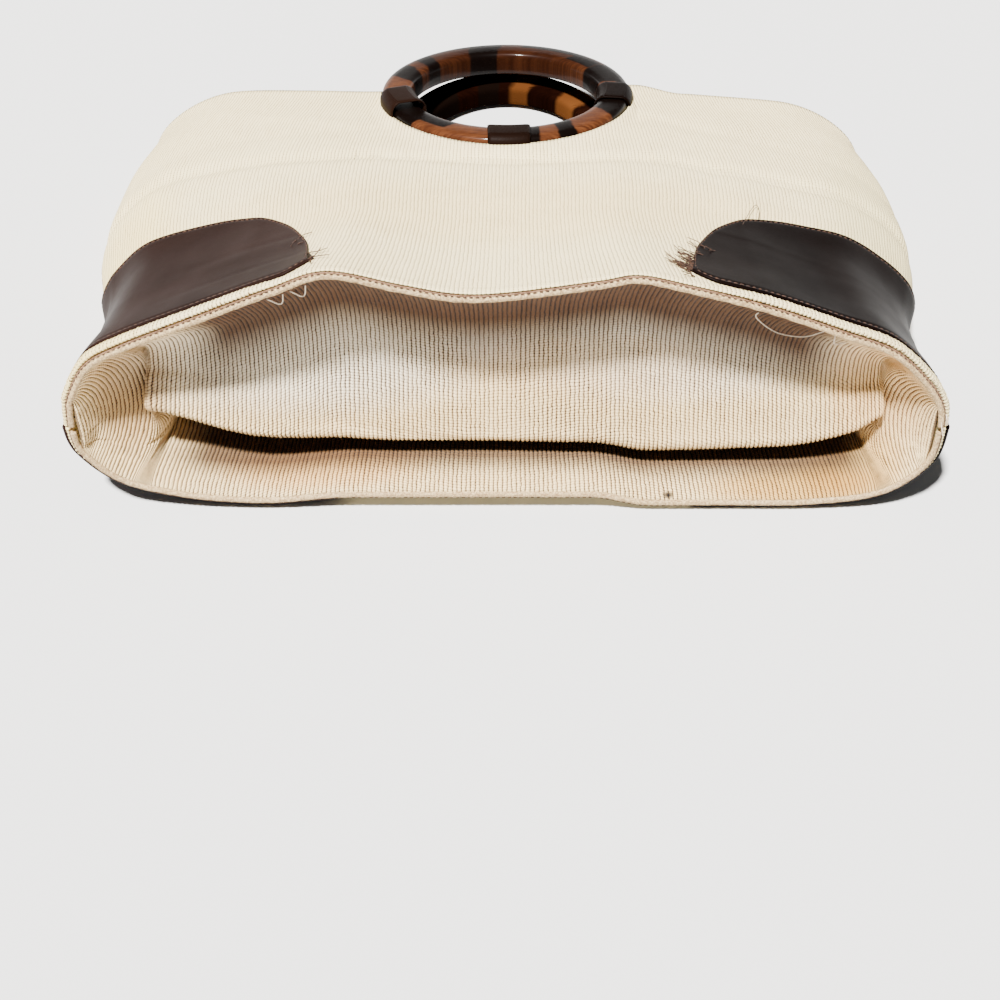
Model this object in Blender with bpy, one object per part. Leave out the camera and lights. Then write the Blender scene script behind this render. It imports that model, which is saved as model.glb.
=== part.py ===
"""A cloth handbag with two wooden ring handles, lying on its back.

+X runs across the bag, +Y from the base's rim to the handles, +Z up from the table.
The base is pushed in between the panels, so the rim stands open towards -Y.
Each panel is a wall between a rim outline and a top outline, and meets the other at the side seams.
"""

import math

import bpy
from mathutils import Matrix, Vector

# Overall sizes of the bag, in metres and radians, at the middle of its walls
RIM_WIDTH = 0.383
RIM_HEIGHT = 0.1315
RIM_LEAN = math.radians(11.0)
TOP_WIDTH = 0.364
PANEL_REACH = 0.246
CORNER_RADIUS = 0.042
SEAM_HEIGHT_AT_RIM = 0.0485
SEAM_HEIGHT_AT_TOP = 0.022
REST_LIFT = 0.005
REST_SPARE = 0.0002

# Walls, hems and the gap left between any two pieces
CLOTH = 0.0015
LEATHER = 0.0014
HEM_OUT = 0.00175
HEM_IN = 0.00125
HEM_WIDTH = 0.005
BASE_HEM = 0.0011
GAP = 0.0003
PATCH_GAP = 0.0005

# The folded base
BASE_DEPTH = 0.062
END_INSET = 0.014
LIP_RISE = 0.024
BASE_END = 0.975

# Wooden rings and their leather loops
RING_OUTER = 0.128
RING_WIDTH = 0.0155
RING_THICKNESS = 0.013
RING_EDGE = 0.0042
RING_CLIMB = 0.0799302453
RING_SPACE = 0.0022
RING_PAST_EDGE = 0.015
RING_STEP = 0.006
STRAP = 0.0013
STRAP_WIDTH = 0.021
STRAP_TAIL = 0.020
TAIL_DROP = 0.0026
TAIL_BEND = 0.0039

# Leather corner patches
PATCH_GIRTH = 0.148
PATCH_REACH = 0.086
PATCH_START = 1.3
PATCH_TIP = 0.995

# Rows across a hem, as shares of its width
HEM_ROWS = (0.0, 0.24, 0.76, 1.0, 1.5)

# Mesh fineness
PANEL_COLUMNS = 34
PANEL_ROWS = 7
BASE_COLUMNS = 36
PATCH_ROWS = 6
RING_STEPS = 48
CORNER_STEPS = 3
STRAP_STEPS = 3
OUTLINE_STEPS = 14
EDGE_STEPS = 24
SCOOP_STEPS = 72

# Rim outlines from the left side seam to the right one: (across, share of the way from seam to crest)
RIM_FRONT = (
    (-1.000, 0.00),
    (-0.995, 0.13),
    (-0.985, 0.22),
    (-0.935, 0.42),
    (-0.855, 0.54),
    (-0.650, 0.75),
    (-0.500, 0.90),
    (-0.380, 1.00),
    (-0.225, 0.92),
    (-0.110, 0.865),
    (0.000, 0.87),
    (0.195, 0.94),
    (0.280, 0.975),
    (0.385, 0.92),
    (0.560, 0.80),
    (0.735, 0.64),
    (0.855, 0.52),
    (0.945, 0.32),
    (0.990, 0.15),
    (1.000, 0.00),
)
# The same for the back, where the share runs from the seam down to the table
RIM_BACK = (
    (-1.000, 0.00),
    (-0.985, 0.32),
    (-0.900, 0.70),
    (-0.750, 0.90),
    (-0.600, 0.97),
    (-0.450, 1.00),
    (0.000, 1.00),
    (0.500, 1.00),
    (0.720, 0.99),
    (0.890, 0.85),
    (0.985, 0.46),
    (1.000, 0.00),
)
# Top outlines, left half: (across, share of the way from the seam to the middle's height)
TOP_HALF = (
    (-1.00, 0.00),
    (-0.99, 0.20),
    (-0.95, 0.40),
    (-0.80, 0.72),
    (-0.60, 0.90),
    (-0.42, 0.99),
    (0.00, 1.00),
)
# How the width goes over from the rim's to the top's: (share of the length, share of the change on the left, right)
WIDTH_CHANGE = (
    (0.00, 0.00, 0.00),
    (0.15, 0.75, 0.70),
    (0.29, 0.95, 0.90),
    (0.45, 0.20, 0.05),
    (0.60, -0.35, -0.35),
    (0.80, 0.00, 0.00),
    (1.00, 1.00, 1.00),
)
# The top edge: (across, share of the panel's reach)
TOP_EDGE = (
    (-1.00, 0.995),
    (-0.78, 1.005),
    (-0.38, 0.975),
    (0.00, 0.975),
    (0.37, 1.010),
    (0.50, 0.968),
    (1.00, 0.960),
)
# Where the back rim stands off the table: (across, share of the lift)
BACK_LIFT = (
    (-1.00, 0.0),
    (-0.62, 0.0),
    (-0.36, 1.0),
    (0.20, 1.0),
    (0.34, 0.0),
    (1.00, 0.0),
)
# How the back panel lies: (share of its length, share of the rim's lift that is left, share of the rise to the ring)
BACK_REST = (
    (0.00, 1.00, 0.00),
    (0.16, 0.47, 0.00),
    (0.31, 0.14, 0.00),
    (0.45, 0.00, 0.00),
    (0.72, 0.00, 0.50),
    (1.00, 0.00, 1.00),
)
# The base's section from the front rim to the back rim, where it bulges and where it is a plain hollow:
# (share of the way down, of the depth and of the lip's rise in the bulge, way down and depth in the hollow ends)
BASE_SECTION = (
    (0.000, 0.00, 0.0, 0.00, 0.00),
    (0.087, 0.15, 0.1, 0.08, 0.20),
    (0.210, 0.32, 0.2, 0.18, 0.36),
    (0.330, 0.43, 0.3, 0.28, 0.46),
    (0.460, 0.46, 0.5, 0.38, 0.52),
    (0.610, 0.43, 0.7, 0.48, 0.55),
    (0.710, 0.37, 0.9, 0.56, 0.56),
    (0.820, 0.31, 1.0, 0.64, 0.55),
    (0.865, 0.28, 1.0, 0.71, 0.53),
    (0.905, 0.32, 1.0, 0.77, 0.50),
    (0.930, 0.50, 0.8, 0.82, 0.46),
    (0.950, 0.77, 0.5, 0.87, 0.41),
    (0.972, 0.94, 0.2, 0.91, 0.35),
    (0.995, 0.91, 0.0, 0.94, 0.28),
    (1.000, 0.62, 0.0, 0.97, 0.19),
    (1.000, 0.22, 0.0, 0.99, 0.10),
    (1.000, 0.00, 0.0, 1.00, 0.00),
)
# How the bulge's lower lip rises towards its ends: (across, share of the rise)
LIP_CURVE = (
    (-1.00, 1.00),
    (-0.82, 0.90),
    (-0.60, 0.36),
    (-0.25, 0.00),
    (0.25, 0.00),
    (0.67, 0.22),
    (0.82, 0.55),
    (0.90, 1.00),
    (1.00, 1.00),
)
# Where the bulge ends on the left and on the right, as shares across
BULGE_ENDS = (-0.83, 0.87)
BULGE_FADE = 0.05
# The patches' upper edge: (share of the girth from the seam to the tip, share of the reach)
PATCH_EDGE = (
    (0.00, 1.00),
    (0.15, 1.02),
    (0.35, 1.04),
    (0.55, 1.02),
    (0.70, 0.95),
    (0.82, 0.78),
    (0.92, 0.50),
    (1.00, 0.13),
)
# Where the back's steep sides go over into the part that lies flat, as shares from seam to table
SIDE_TO_FLAT = (0.40, 0.90)
# Loops on a ring: name, angle from the side that faces the base, slack over the ring's face
LOOPS = (
    ("left", math.radians(-70.0), 0.0030),
    ("bottom", math.radians(1.5), 0.0000),
    ("right", math.radians(84.0), 0.0000),
)

# Colour, roughness and metallic of each finish
FINISHES = {
    "cream_cloth": ((0.83, 0.76, 0.62, 1.0), 0.90, 0.0),
    "brown_leather": ((0.045, 0.024, 0.018, 1.0), 0.42, 0.0),
    "striped_wood": ((0.20, 0.075, 0.03, 1.0), 0.25, 0.0),
}

# Worked out from the sizes above
SEAM_STEP = 0.5 * GAP
FLAT_MIDDLE = REST_SPARE + LEATHER + PATCH_GAP + 0.5 * CLOTH
RING_RADIUS = 0.5 * RING_OUTER
RING_SLOPE = math.atan2(RING_CLIMB, PANEL_REACH)
BACK_RING_CENTRE = Vector((0.0, PANEL_REACH - RING_PAST_EDGE - RING_STEP, STRAP + GAP + 0.5 * RING_THICKNESS))
FRONT_RING_CENTRE = Vector(
    (
        0.0,
        PANEL_REACH - RING_PAST_EDGE,
        BACK_RING_CENTRE.z
        + 0.5 * RING_THICKNESS * (1.0 + math.cos(RING_SLOPE))
        + RING_SPACE
        + RING_RADIUS * math.sin(RING_SLOPE),
    )
)
SCOOP_RADIUS = RING_RADIUS + GAP + STRAP + GAP
BASE_INSET = HEM_IN + 2.0 * GAP + BASE_HEM


def clear_scene():
    for item in list(bpy.data.objects):
        bpy.data.objects.remove(item, do_unlink=True)


def make_finish(name):
    colour, roughness, metallic = FINISHES[name]
    finish = bpy.data.materials.new(name)
    finish.use_nodes = True
    shader = finish.node_tree.nodes["Principled BSDF"]
    shader.inputs["Base Color"].default_value = colour
    shader.inputs["Roughness"].default_value = roughness
    shader.inputs["Metallic"].default_value = metallic
    return finish


def mix(start, end, share):
    return start + (end - start) * share


def smooth_step(low, high, value):
    share = min(max((value - low) / (high - low), 0.0), 1.0)
    return share * share * (3.0 - 2.0 * share)


def row_slope(rows, index, column):
    """A table's slope at a row: none at a peak, so that the curve never passes its rows."""
    if index in (0, len(rows) - 1):
        return 0.0
    (x0, y0), (x1, y1), (x2, y2) = ((row[0], row[column]) for row in rows[index - 1 : index + 2])
    before, after = (y1 - y0) / (x1 - x0), (y2 - y1) / (x2 - x1)
    if before * after <= 0.0:
        return 0.0
    return 2.0 * before * after / (before + after)


def row_value(rows, place, column=1):
    """A column of a table at a place in its first column, along smooth curves."""
    last = len(rows) - 1
    index = 0
    while index < last - 1 and place > rows[index + 1][0]:
        index += 1
    slopes = [row_slope(rows, near, column) for near in (index, index + 1)]
    (x0, y0), (x1, y1) = ((row[0], row[column]) for row in rows[index : index + 2])
    t = min(max((place - x0) / (x1 - x0), 0.0), 1.0)
    span = x1 - x0
    return (
        y0 * (1 + 2 * t) * (1 - t) ** 2
        + slopes[0] * span * t * (1 - t) ** 2
        + y1 * t * t * (3 - 2 * t)
        + slopes[1] * span * t * t * (t - 1)
    )


class Outline:
    """A smooth curve through the rows of an outline table, read by its share of the real length."""

    def __init__(self, rows, wide, high):
        ends = [Vector(rows[0]), *map(Vector, rows), Vector(rows[-1])]
        self.points = []
        for a, b, c, d in zip(ends, ends[1:], ends[2:], ends[3:]):
            for step in range(OUTLINE_STEPS):
                t = step / OUTLINE_STEPS
                self.points.append(
                    0.5 * (2 * b + (c - a) * t + (2 * a - 5 * b + 4 * c - d) * t * t + (3 * (b - c) + d - a) * t**3)
                )
        self.points.append(ends[-1])
        self.lengths = [0.0]
        for a, b in zip(self.points, self.points[1:]):
            step = Vector(((b.x - a.x) * wide, (b.y - a.y) * high)).length
            self.lengths.append(self.lengths[-1] + step)
        self.girth = self.lengths[-1]

    def at(self, share):
        target = min(max(share, 0.0), 1.0) * self.girth
        index = 1
        while index < len(self.lengths) - 1 and self.lengths[index] < target:
            index += 1
        start, end = self.lengths[index - 1], self.lengths[index]
        return self.points[index - 1].lerp(self.points[index], (target - start) / max(end - start, 1e-9))


def both_halves(rows):
    return rows + tuple((-across, share) for across, share in reversed(rows[:-1]))


HALF_RIM = 0.5 * RIM_WIDTH
HALF_TOP = 0.5 * TOP_WIDTH
SIDES = {
    "front": {
        "rim": Outline(RIM_FRONT, HALF_RIM, RIM_HEIGHT - SEAM_HEIGHT_AT_RIM),
        "top": Outline(both_halves(TOP_HALF), HALF_TOP, FRONT_RING_CENTRE.z - SEAM_HEIGHT_AT_TOP),
        "outward": 1.0,
    },
    "back": {
        "rim": Outline(RIM_BACK, HALF_RIM, SEAM_HEIGHT_AT_RIM),
        "top": Outline(both_halves(TOP_HALF), HALF_TOP, SEAM_HEIGHT_AT_TOP),
        "outward": -1.0,
    },
}


def ring_plane(y):
    """The height of the front ring's middle plane, which the front panel runs into."""
    return FRONT_RING_CENTRE.z - (y - FRONT_RING_CENTRE.y) * math.tan(RING_SLOPE)


def rim_point(side, share):
    """(x, y, z) on the rim's leaning plane."""
    across, way = SIDES[side]["rim"].at(share)
    if side == "front":
        up = mix(SEAM_HEIGHT_AT_RIM, RIM_HEIGHT, way)
    else:
        up = mix(SEAM_HEIGHT_AT_RIM, FLAT_MIDDLE, way) + REST_LIFT * row_value(BACK_LIFT, across)
    return Vector((across * HALF_RIM, up * math.sin(RIM_LEAN), up * math.cos(RIM_LEAN)))


def top_edge_y(across):
    """How far the panel reaches, with its rounded corners."""
    into_corner = max(abs(across) * HALF_TOP - (HALF_TOP - CORNER_RADIUS), 0.0)
    into_corner = min(into_corner, CORNER_RADIUS)
    lost = CORNER_RADIUS - math.sqrt(CORNER_RADIUS**2 - into_corner**2)
    return PANEL_REACH * row_value(TOP_EDGE, across) - lost


def top_point(side, share):
    across, way = SIDES[side]["top"].at(share)
    y = top_edge_y(across)
    middle = ring_plane(y) if side == "front" else BACK_RING_CENTRE.z
    return Vector((across * HALF_TOP, y, mix(SEAM_HEIGHT_AT_TOP, middle, way)))


def width_share(across, along):
    """The bag's width against its rim's, at a share across and along from rim to top."""
    left, right = (row_value(WIDTH_CHANGE, along, column) for column in (1, 2))
    return mix(1.0, TOP_WIDTH / RIM_WIDTH, mix(left, right, 0.5 * (1.0 + across)))


def panel_point(side, share, along):
    """A point of a panel's middle surface: share from the left seam to the right, along from rim to top."""
    rim, top = rim_point(side, share), top_point(side, share)
    point = rim.lerp(top, along)
    across = mix(rim.x / HALF_RIM, top.x / HALF_TOP, along)
    point.x = across * HALF_RIM * width_share(across, along)
    if side == "front":
        proud = max(rim.z - ring_plane(rim.y), 0.0)
        point.z -= proud * along * (1.0 - along)
    else:
        lifted = (rim.z - FLAT_MIDDLE) * row_value(BACK_REST, along, 1)
        rise = (top.z - FLAT_MIDDLE) * row_value(BACK_REST, along, 2)
        _, way = SIDES[side]["rim"].at(share)
        point.z = mix(point.z, FLAT_MIDDLE + lifted + rise, smooth_step(*SIDE_TO_FLAT, way))
    return point


def panel_length(side, share):
    return (top_point(side, share) - rim_point(side, share)).length


def grid_normals(grid, turn):
    """A unit normal for each grid point, from its neighbours, times turn."""
    rows, columns = len(grid), len(grid[0])
    normals = []
    for i in range(rows):
        line = []
        for j in range(columns):
            along = grid[min(i + 1, rows - 1)][j] - grid[max(i - 1, 0)][j]
            across = grid[i][min(j + 1, columns - 1)] - grid[i][max(j - 1, 0)]
            line.append(across.cross(along).normalized() * turn)
        normals.append(line)
    return normals


def wall(name, grid, outer, inner, finish, turn=1.0):
    """A closed wall around a grid of points: outer and inner give each point's two offsets."""
    rows, columns = len(grid), len(grid[0])
    normals = grid_normals(grid, turn)
    points = []
    for offset in (outer, inner):
        for i in range(rows):
            for j in range(columns):
                points.append(grid[i][j] + normals[i][j] * offset(i, j))

    def at(layer, i, j):
        return (layer * rows + i) * columns + j

    faces = []
    for i in range(rows - 1):
        for j in range(columns - 1):
            faces.append((at(0, i, j), at(0, i, j + 1), at(0, i + 1, j + 1), at(0, i + 1, j)))
            faces.append((at(1, i, j), at(1, i + 1, j), at(1, i + 1, j + 1), at(1, i, j + 1)))
    border = [(0, j) for j in range(columns - 1)]
    border += [(i, columns - 1) for i in range(rows - 1)]
    border += [(rows - 1, j) for j in range(columns - 1, 0, -1)]
    border += [(i, 0) for i in range(rows - 1, 0, -1)]
    for (i0, j0), (i1, j1) in zip(border, border[1:] + border[:1]):
        faces.append((at(0, i0, j0), at(1, i0, j0), at(1, i1, j1), at(0, i1, j1)))
    if turn < 0:
        faces = [tuple(reversed(face)) for face in faces]
    return add_mesh(name, points, faces, finish)


def add_mesh(name, points, faces, finish):
    mesh = bpy.data.meshes.new(name)
    mesh.from_pydata(points, [], faces)
    mesh.validate()
    mesh.shade_smooth()
    mesh.set_sharp_from_angle(angle=math.radians(40.0))
    mesh.materials.append(finish)
    piece = bpy.data.objects.new(name, mesh)
    bpy.context.scene.collection.objects.link(piece)
    return piece


def ring_frame(side):
    """The ring's own axes: X across, Y towards the handle's far end, Z out of the bag."""
    if side == "front":
        return Matrix.Translation(FRONT_RING_CENTRE) @ Matrix.Rotation(-RING_SLOPE, 4, "X")
    return Matrix.Translation(BACK_RING_CENTRE) @ Matrix.Rotation(math.pi, 4, "Y")


def panel_grid(side):
    """Points of a panel's middle surface, with rows from rim to top and columns from seam to seam."""
    rows = [share * HEM_WIDTH for share in HEM_ROWS]
    hem_rows = len(rows)
    margin = SEAM_STEP / SIDES[side]["rim"].girth
    grid = []
    for i in range(hem_rows + PANEL_ROWS):
        line = []
        for j in range(PANEL_COLUMNS + 1):
            share = mix(margin, 1.0 - margin, j / PANEL_COLUMNS)
            length = panel_length(side, share)
            if i < hem_rows:
                along = rows[i] / length
            else:
                along = mix(rows[-1] / length, 1.0, (i - hem_rows + 1) / PANEL_ROWS)
            point = panel_point(side, share, along)
            edge = min(j, PANEL_COLUMNS - j)
            if edge == 0:
                point.z += SIDES[side]["outward"] * (0.5 * CLOTH + GAP)
            line.append(point)
        grid.append(line)
    return grid


def make_panel(side, finish):
    grid = panel_grid(side)
    half = 0.5 * CLOTH

    def outer(i, j):
        at_seam = min(j, PANEL_COLUMNS - j) == 0
        return HEM_OUT if i in (1, 2) and not at_seam else half

    def inner(i, j):
        at_seam = min(j, PANEL_COLUMNS - j) == 0
        return -HEM_IN if i < 3 and not at_seam else -half

    turn = 1.0 if side == "front" else -1.0
    panel = wall(f"{side}_panel", grid, outer, inner, finish, turn)
    cutter = make_scoop_cutter(side)
    cut = panel.modifiers.new("scoop", "BOOLEAN")
    cut.operation = "DIFFERENCE"
    cut.solver = "EXACT"
    cut.object = cutter
    return [panel, cutter]


def make_scoop_cutter(side):
    """The round bay in a panel's top edge, as wide as the ring, its loops and two gaps."""
    depth = 3.0 * RING_THICKNESS
    circle = []
    for step in range(SCOOP_STEPS):
        turn = 2 * math.pi * step / SCOOP_STEPS
        circle.append(Vector((SCOOP_RADIUS * math.cos(turn), SCOOP_RADIUS * math.sin(turn), 0.0)))
    frame = ring_frame(side)
    points = [frame @ (point + Vector((0.0, 0.0, z))) for z in (-depth, depth) for point in circle]
    faces = [tuple(reversed(range(SCOOP_STEPS))), tuple(range(SCOOP_STEPS, 2 * SCOOP_STEPS))]
    for step in range(SCOOP_STEPS):
        after = (step + 1) % SCOOP_STEPS
        faces.append((step, after, SCOOP_STEPS + after, SCOOP_STEPS + step))
    cutter = add_mesh(f"{side}_scoop_cutter", points, faces, bpy.data.materials["cream_cloth"])
    cutter.hide_render = True
    cutter.display_type = "WIRE"
    return cutter


def rim_line(side):
    """The panel's faceted rim as many points (across, height along the leaning plane), in metres."""
    corners = [rim_point(side, j / PANEL_COLUMNS) for j in range(PANEL_COLUMNS + 1)]
    line = []
    for start, end in zip(corners, corners[1:]):
        for step in range(EDGE_STEPS):
            point = start.lerp(end, step / EDGE_STEPS)
            line.append((point.x, point.z / math.cos(RIM_LEAN)))
    return line


def base_height(line, outward, x):
    """The height of the base's edge under a rim line, its inset away from every point of it."""
    inside = [
        outward * height - math.sqrt(BASE_INSET**2 - (place - x) ** 2)
        for place, height in line
        if abs(place - x) < BASE_INSET
    ]
    return outward * min(inside)


def base_point(across, row, front, back):
    """A point of the base's middle surface, from the front rim over the bulge to the back rim."""
    bulge_down, bulge_depth, rise, hollow_down, hollow_depth = BASE_SECTION[row]
    left, right = BULGE_ENDS
    bulge = smooth_step(left - BULGE_FADE, left, across) * (1.0 - smooth_step(right, right + BULGE_FADE, across))
    down = mix(hollow_down, bulge_down, bulge)
    share = mix(hollow_depth, bulge_depth, bulge)
    up = mix(front, back, down) + LIP_RISE * rise * bulge * row_value(LIP_CURVE, across)
    fade = math.sqrt(max(1.0 - (abs(across) / BASE_END) ** 8, 0.0))
    depth = BASE_DEPTH * share * fade
    x = across * HALF_RIM - math.copysign(END_INSET, across) * share * (1.0 - bulge) * fade
    x *= width_share(across, depth / PANEL_REACH)
    return Vector((x, up * math.sin(RIM_LEAN) + depth, up * math.cos(RIM_LEAN)))


def make_base(finish):
    lines = {side: rim_line(side) for side in SIDES}
    columns = []
    for j in range(BASE_COLUMNS + 1):
        turn = math.pi * (j / BASE_COLUMNS - 0.5)
        across = BASE_END * mix(math.sin(turn), turn / (0.5 * math.pi), 0.55)
        heights = [base_height(lines[side], SIDES[side]["outward"], across * HALF_RIM) for side in SIDES]
        columns.append((across, *heights))
    grid = [[base_point(across, row, *heights) for across, *heights in columns] for row in range(len(BASE_SECTION))]
    last = len(grid) - 1

    def half(i, j):
        at_edge = i in (0, last) or j in (0, BASE_COLUMNS)
        return BASE_HEM if at_edge else 0.5 * CLOTH

    return wall("base_panel", grid, half, lambda i, j: -half(i, j), finish)


def along_column(column, distance):
    """The point of a run of points that lies a distance along it."""
    for start, end in zip(column, column[1:]):
        length = (end - start).length
        if distance <= length:
            return start.lerp(end, distance / length)
        distance -= length
    return column[-1]


def make_patch(side, hand, finish):
    """A corner patch on a panel's outside, from the side seam to a rounded tip beside the hem."""
    columns = list(zip(*panel_grid(side)))
    if hand == "right":
        columns.reverse()
    part_of_column = SIDES[side]["rim"].girth / PATCH_GIRTH / PANEL_COLUMNS
    places = [j for j in range(PANEL_COLUMNS) if j * part_of_column < PATCH_TIP] + [PATCH_TIP / part_of_column]
    lower = PATCH_START * HEM_WIDTH
    grid = []
    for i in range(PATCH_ROWS + 1):
        line = []
        for place in places:
            column = int(place)
            upper = PATCH_REACH * row_value(PATCH_EDGE, place * part_of_column)
            distance = mix(lower, upper, i / PATCH_ROWS)
            near, far = (along_column(columns[k], distance) for k in (column, column + 1))
            line.append(near.lerp(far, place - column))
        grid.append(line)
    inside = 0.5 * CLOTH + PATCH_GAP
    turn = 1.0 if (side == "front") == (hand == "left") else -1.0
    return wall(
        f"{side}_{hand}_patch",
        grid,
        lambda i, j: inside + LEATHER,
        lambda i, j: inside,
        finish,
        turn,
    )


def ring_section(radius, width, thickness, edge, steps):
    """A rounded oblong in the ring's radial plane, as (distance from the axis, height)."""
    points = []
    corners = ((1, 1), (-1, 1), (-1, -1), (1, -1))
    for index, (out, up) in enumerate(corners):
        centre = Vector((radius + out * (0.5 * width - edge), up * (0.5 * thickness - edge)))
        for step in range(steps + 1):
            turn = 0.5 * math.pi * (index + step / steps)
            points.append(centre + edge * Vector((math.cos(turn), math.sin(turn))))
    return points


def make_ring(side, finish):
    middle = RING_RADIUS - 0.5 * RING_WIDTH
    section = ring_section(middle, RING_WIDTH, RING_THICKNESS, RING_EDGE, CORNER_STEPS)
    count = len(section)
    frame = ring_frame(side)
    points = []
    for step in range(RING_STEPS):
        turn = 2 * math.pi * step / RING_STEPS
        for distance, height in section:
            points.append(frame @ Vector((distance * math.cos(turn), distance * math.sin(turn), height)))
    faces = []
    for step in range(RING_STEPS):
        here, there = step * count, (step + 1) % RING_STEPS * count
        for k in range(count):
            after = (k + 1) % count
            faces.append((here + k, there + k, there + after, here + after))
    return add_mesh(f"{side}_ring", points, faces, finish)


def strap_path(slack):
    """The middle line of a loop round the ring's section, from one tail to the other.

    Each point is (distance from the axis past the ring's outside, height above its middle plane).
    """
    off = GAP + 0.5 * STRAP
    edge = RING_EDGE + off
    face = 0.5 * RING_THICKNESS + off
    hole = -RING_WIDTH - off
    points = [(STRAP_TAIL, -TAIL_DROP), (off + STRAP, -TAIL_DROP), (off, -TAIL_DROP + STRAP)]
    arcs = (
        (off - edge, face - edge, 0.0, slack),
        (hole + edge, face - edge, 0.5 * math.pi, slack),
        (hole + edge, edge - face, math.pi, 0.0),
        (off - edge, edge - face, 1.5 * math.pi, 0.0),
    )
    for distance, height, start, raised in arcs:
        steps = CORNER_STEPS - 1 if start == 1.5 * math.pi else CORNER_STEPS
        for step in range(steps + 1):
            turn = start + 0.5 * math.pi * step / CORNER_STEPS
            points.append((distance + edge * math.cos(turn), height + raised + edge * math.sin(turn)))
    second_tail = -TAIL_DROP - STRAP - GAP
    points += [(off + TAIL_BEND, second_tail), (STRAP_TAIL, second_tail)]
    return points


def make_loop(side, name, angle, slack, finish):
    frame = ring_frame(side)
    if side == "back":
        # The back ring's axes face down, and its loops bear on the table without slack
        angle, slack = -angle, 0.0
    out = Vector((math.sin(angle), -math.cos(angle), 0.0))
    beside = Vector((math.cos(angle), math.sin(angle), 0.0))
    grid = []
    for past, height in strap_path(slack):
        line = []
        for step in range(STRAP_STEPS + 1):
            sideways = STRAP_WIDTH * (step / STRAP_STEPS - 0.5)
            distance = RING_RADIUS + past
            on_ring = min(distance, SCOOP_RADIUS)
            straight = distance - on_ring
            reach = math.sqrt(on_ring**2 - sideways**2) + straight
            line.append(frame @ (out * reach + beside * sideways + Vector((0.0, 0.0, height))))
        grid.append(line)
    half = 0.5 * STRAP
    return wall(f"{side}_{name}_loop", grid, lambda i, j: half, lambda i, j: -half, finish, -1.0)


def centre_on_origin(pieces):
    """Puts the middle of the bag's box over the origin, through one parent."""
    corners = [vertex.co for piece in pieces if not piece.hide_render for vertex in piece.data.vertices]
    middle = [0.5 * (min(c[axis] for c in corners) + max(c[axis] for c in corners)) for axis in range(2)]
    bag = bpy.data.objects.new("bag", None)
    bpy.context.scene.collection.objects.link(bag)
    bag.location = (-middle[0], -middle[1], 0.0)
    for piece in pieces:
        piece.parent = bag
    return middle


def main():
    clear_scene()
    finishes = {name: make_finish(name) for name in FINISHES}
    cloth, leather, wood = finishes["cream_cloth"], finishes["brown_leather"], finishes["striped_wood"]
    pieces = [make_base(cloth)]
    for side in SIDES:
        pieces += make_panel(side, cloth)
        for hand in ("left", "right"):
            pieces.append(make_patch(side, hand, leather))
        pieces.append(make_ring(side, wood))
        for name, angle, slack in LOOPS:
            pieces.append(make_loop(side, name, angle, slack, leather))
    middle = centre_on_origin(pieces)
    print(f"{len(pieces)} objects, moved by {middle[0] * 1000:.2f} and {middle[1] * 1000:.2f} mm")


main()
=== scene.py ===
# %% [markdown]
# # A cloth handbag with wooden ring handles
#
# The bag lies on its back with its soft base folded inwards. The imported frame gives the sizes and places.
# Each soft piece is built again here with real ribs, hems and stitches, and stands for its plain solid.
# Lengths are metres, +X runs across the bag, +Y from the rim to the rings, +Z up from the table.

import math
import random

import bpy
import numpy as np
from mathutils import Matrix, Vector


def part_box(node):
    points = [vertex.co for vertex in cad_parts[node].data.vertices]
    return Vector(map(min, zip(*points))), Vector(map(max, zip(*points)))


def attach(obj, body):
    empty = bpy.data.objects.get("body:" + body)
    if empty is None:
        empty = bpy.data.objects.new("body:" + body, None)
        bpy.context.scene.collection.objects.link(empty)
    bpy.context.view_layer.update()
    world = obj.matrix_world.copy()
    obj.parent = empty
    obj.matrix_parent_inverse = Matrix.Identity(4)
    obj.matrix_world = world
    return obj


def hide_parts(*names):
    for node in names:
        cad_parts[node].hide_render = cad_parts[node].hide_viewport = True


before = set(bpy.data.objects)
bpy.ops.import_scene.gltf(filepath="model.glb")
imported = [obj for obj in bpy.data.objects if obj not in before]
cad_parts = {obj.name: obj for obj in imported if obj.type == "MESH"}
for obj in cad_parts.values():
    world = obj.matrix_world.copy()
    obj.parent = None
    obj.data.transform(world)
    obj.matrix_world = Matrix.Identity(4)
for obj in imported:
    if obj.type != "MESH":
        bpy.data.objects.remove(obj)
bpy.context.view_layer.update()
print(len(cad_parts), "nodes in the frame")

# %% [markdown]
# ## Sizes and outline tables
#
# On the real bag the cloth, the patches and the rings are cut to fit one another. Their outlines could be
# measured from the frame's meshes. A few named sizes and outline tables, the same that the solids were made
# from, say more clearly how each piece is shaped, and each visible surface then lies on its solid.

# %% Sizes
RIM_WIDTH = 0.383
RIM_HEIGHT = 0.1315
RIM_LEAN = math.radians(11.0)
TOP_WIDTH = 0.364
PANEL_REACH = 0.246
CORNER_RADIUS = 0.042
SEAM_HEIGHT_AT_RIM = 0.0485
SEAM_HEIGHT_AT_TOP = 0.022
REST_LIFT = 0.005
CLOTH = 0.0015
LEATHER = 0.0014
BASE_DEPTH = 0.062
END_INSET = 0.014
LIP_RISE = 0.024
BASE_END = 0.975
RING_OUTER = 0.128
RING_WIDTH = 0.0155
RING_THICKNESS = 0.013
RING_SLOPE = math.radians(18.0)
RING_SPACE = 0.0022
RING_PAST_EDGE = 0.015
RING_STEP = 0.006
STRAP = 0.0013
STRAP_WIDTH = 0.021
GAP = 0.0003
PATCH_GIRTH = 0.148
PATCH_REACH = 0.086
PATCH_LOWER = {"front": 0.0065, "back": 0.0008}
PATCH_TIP = 0.995
BASE_INSET = 0.00295
FLAT_MIDDLE = 0.00285
SIDE_TO_FLAT = (0.40, 0.90)
BULGE_ENDS = (-0.83, 0.87)
BULGE_FADE = 0.05

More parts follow.
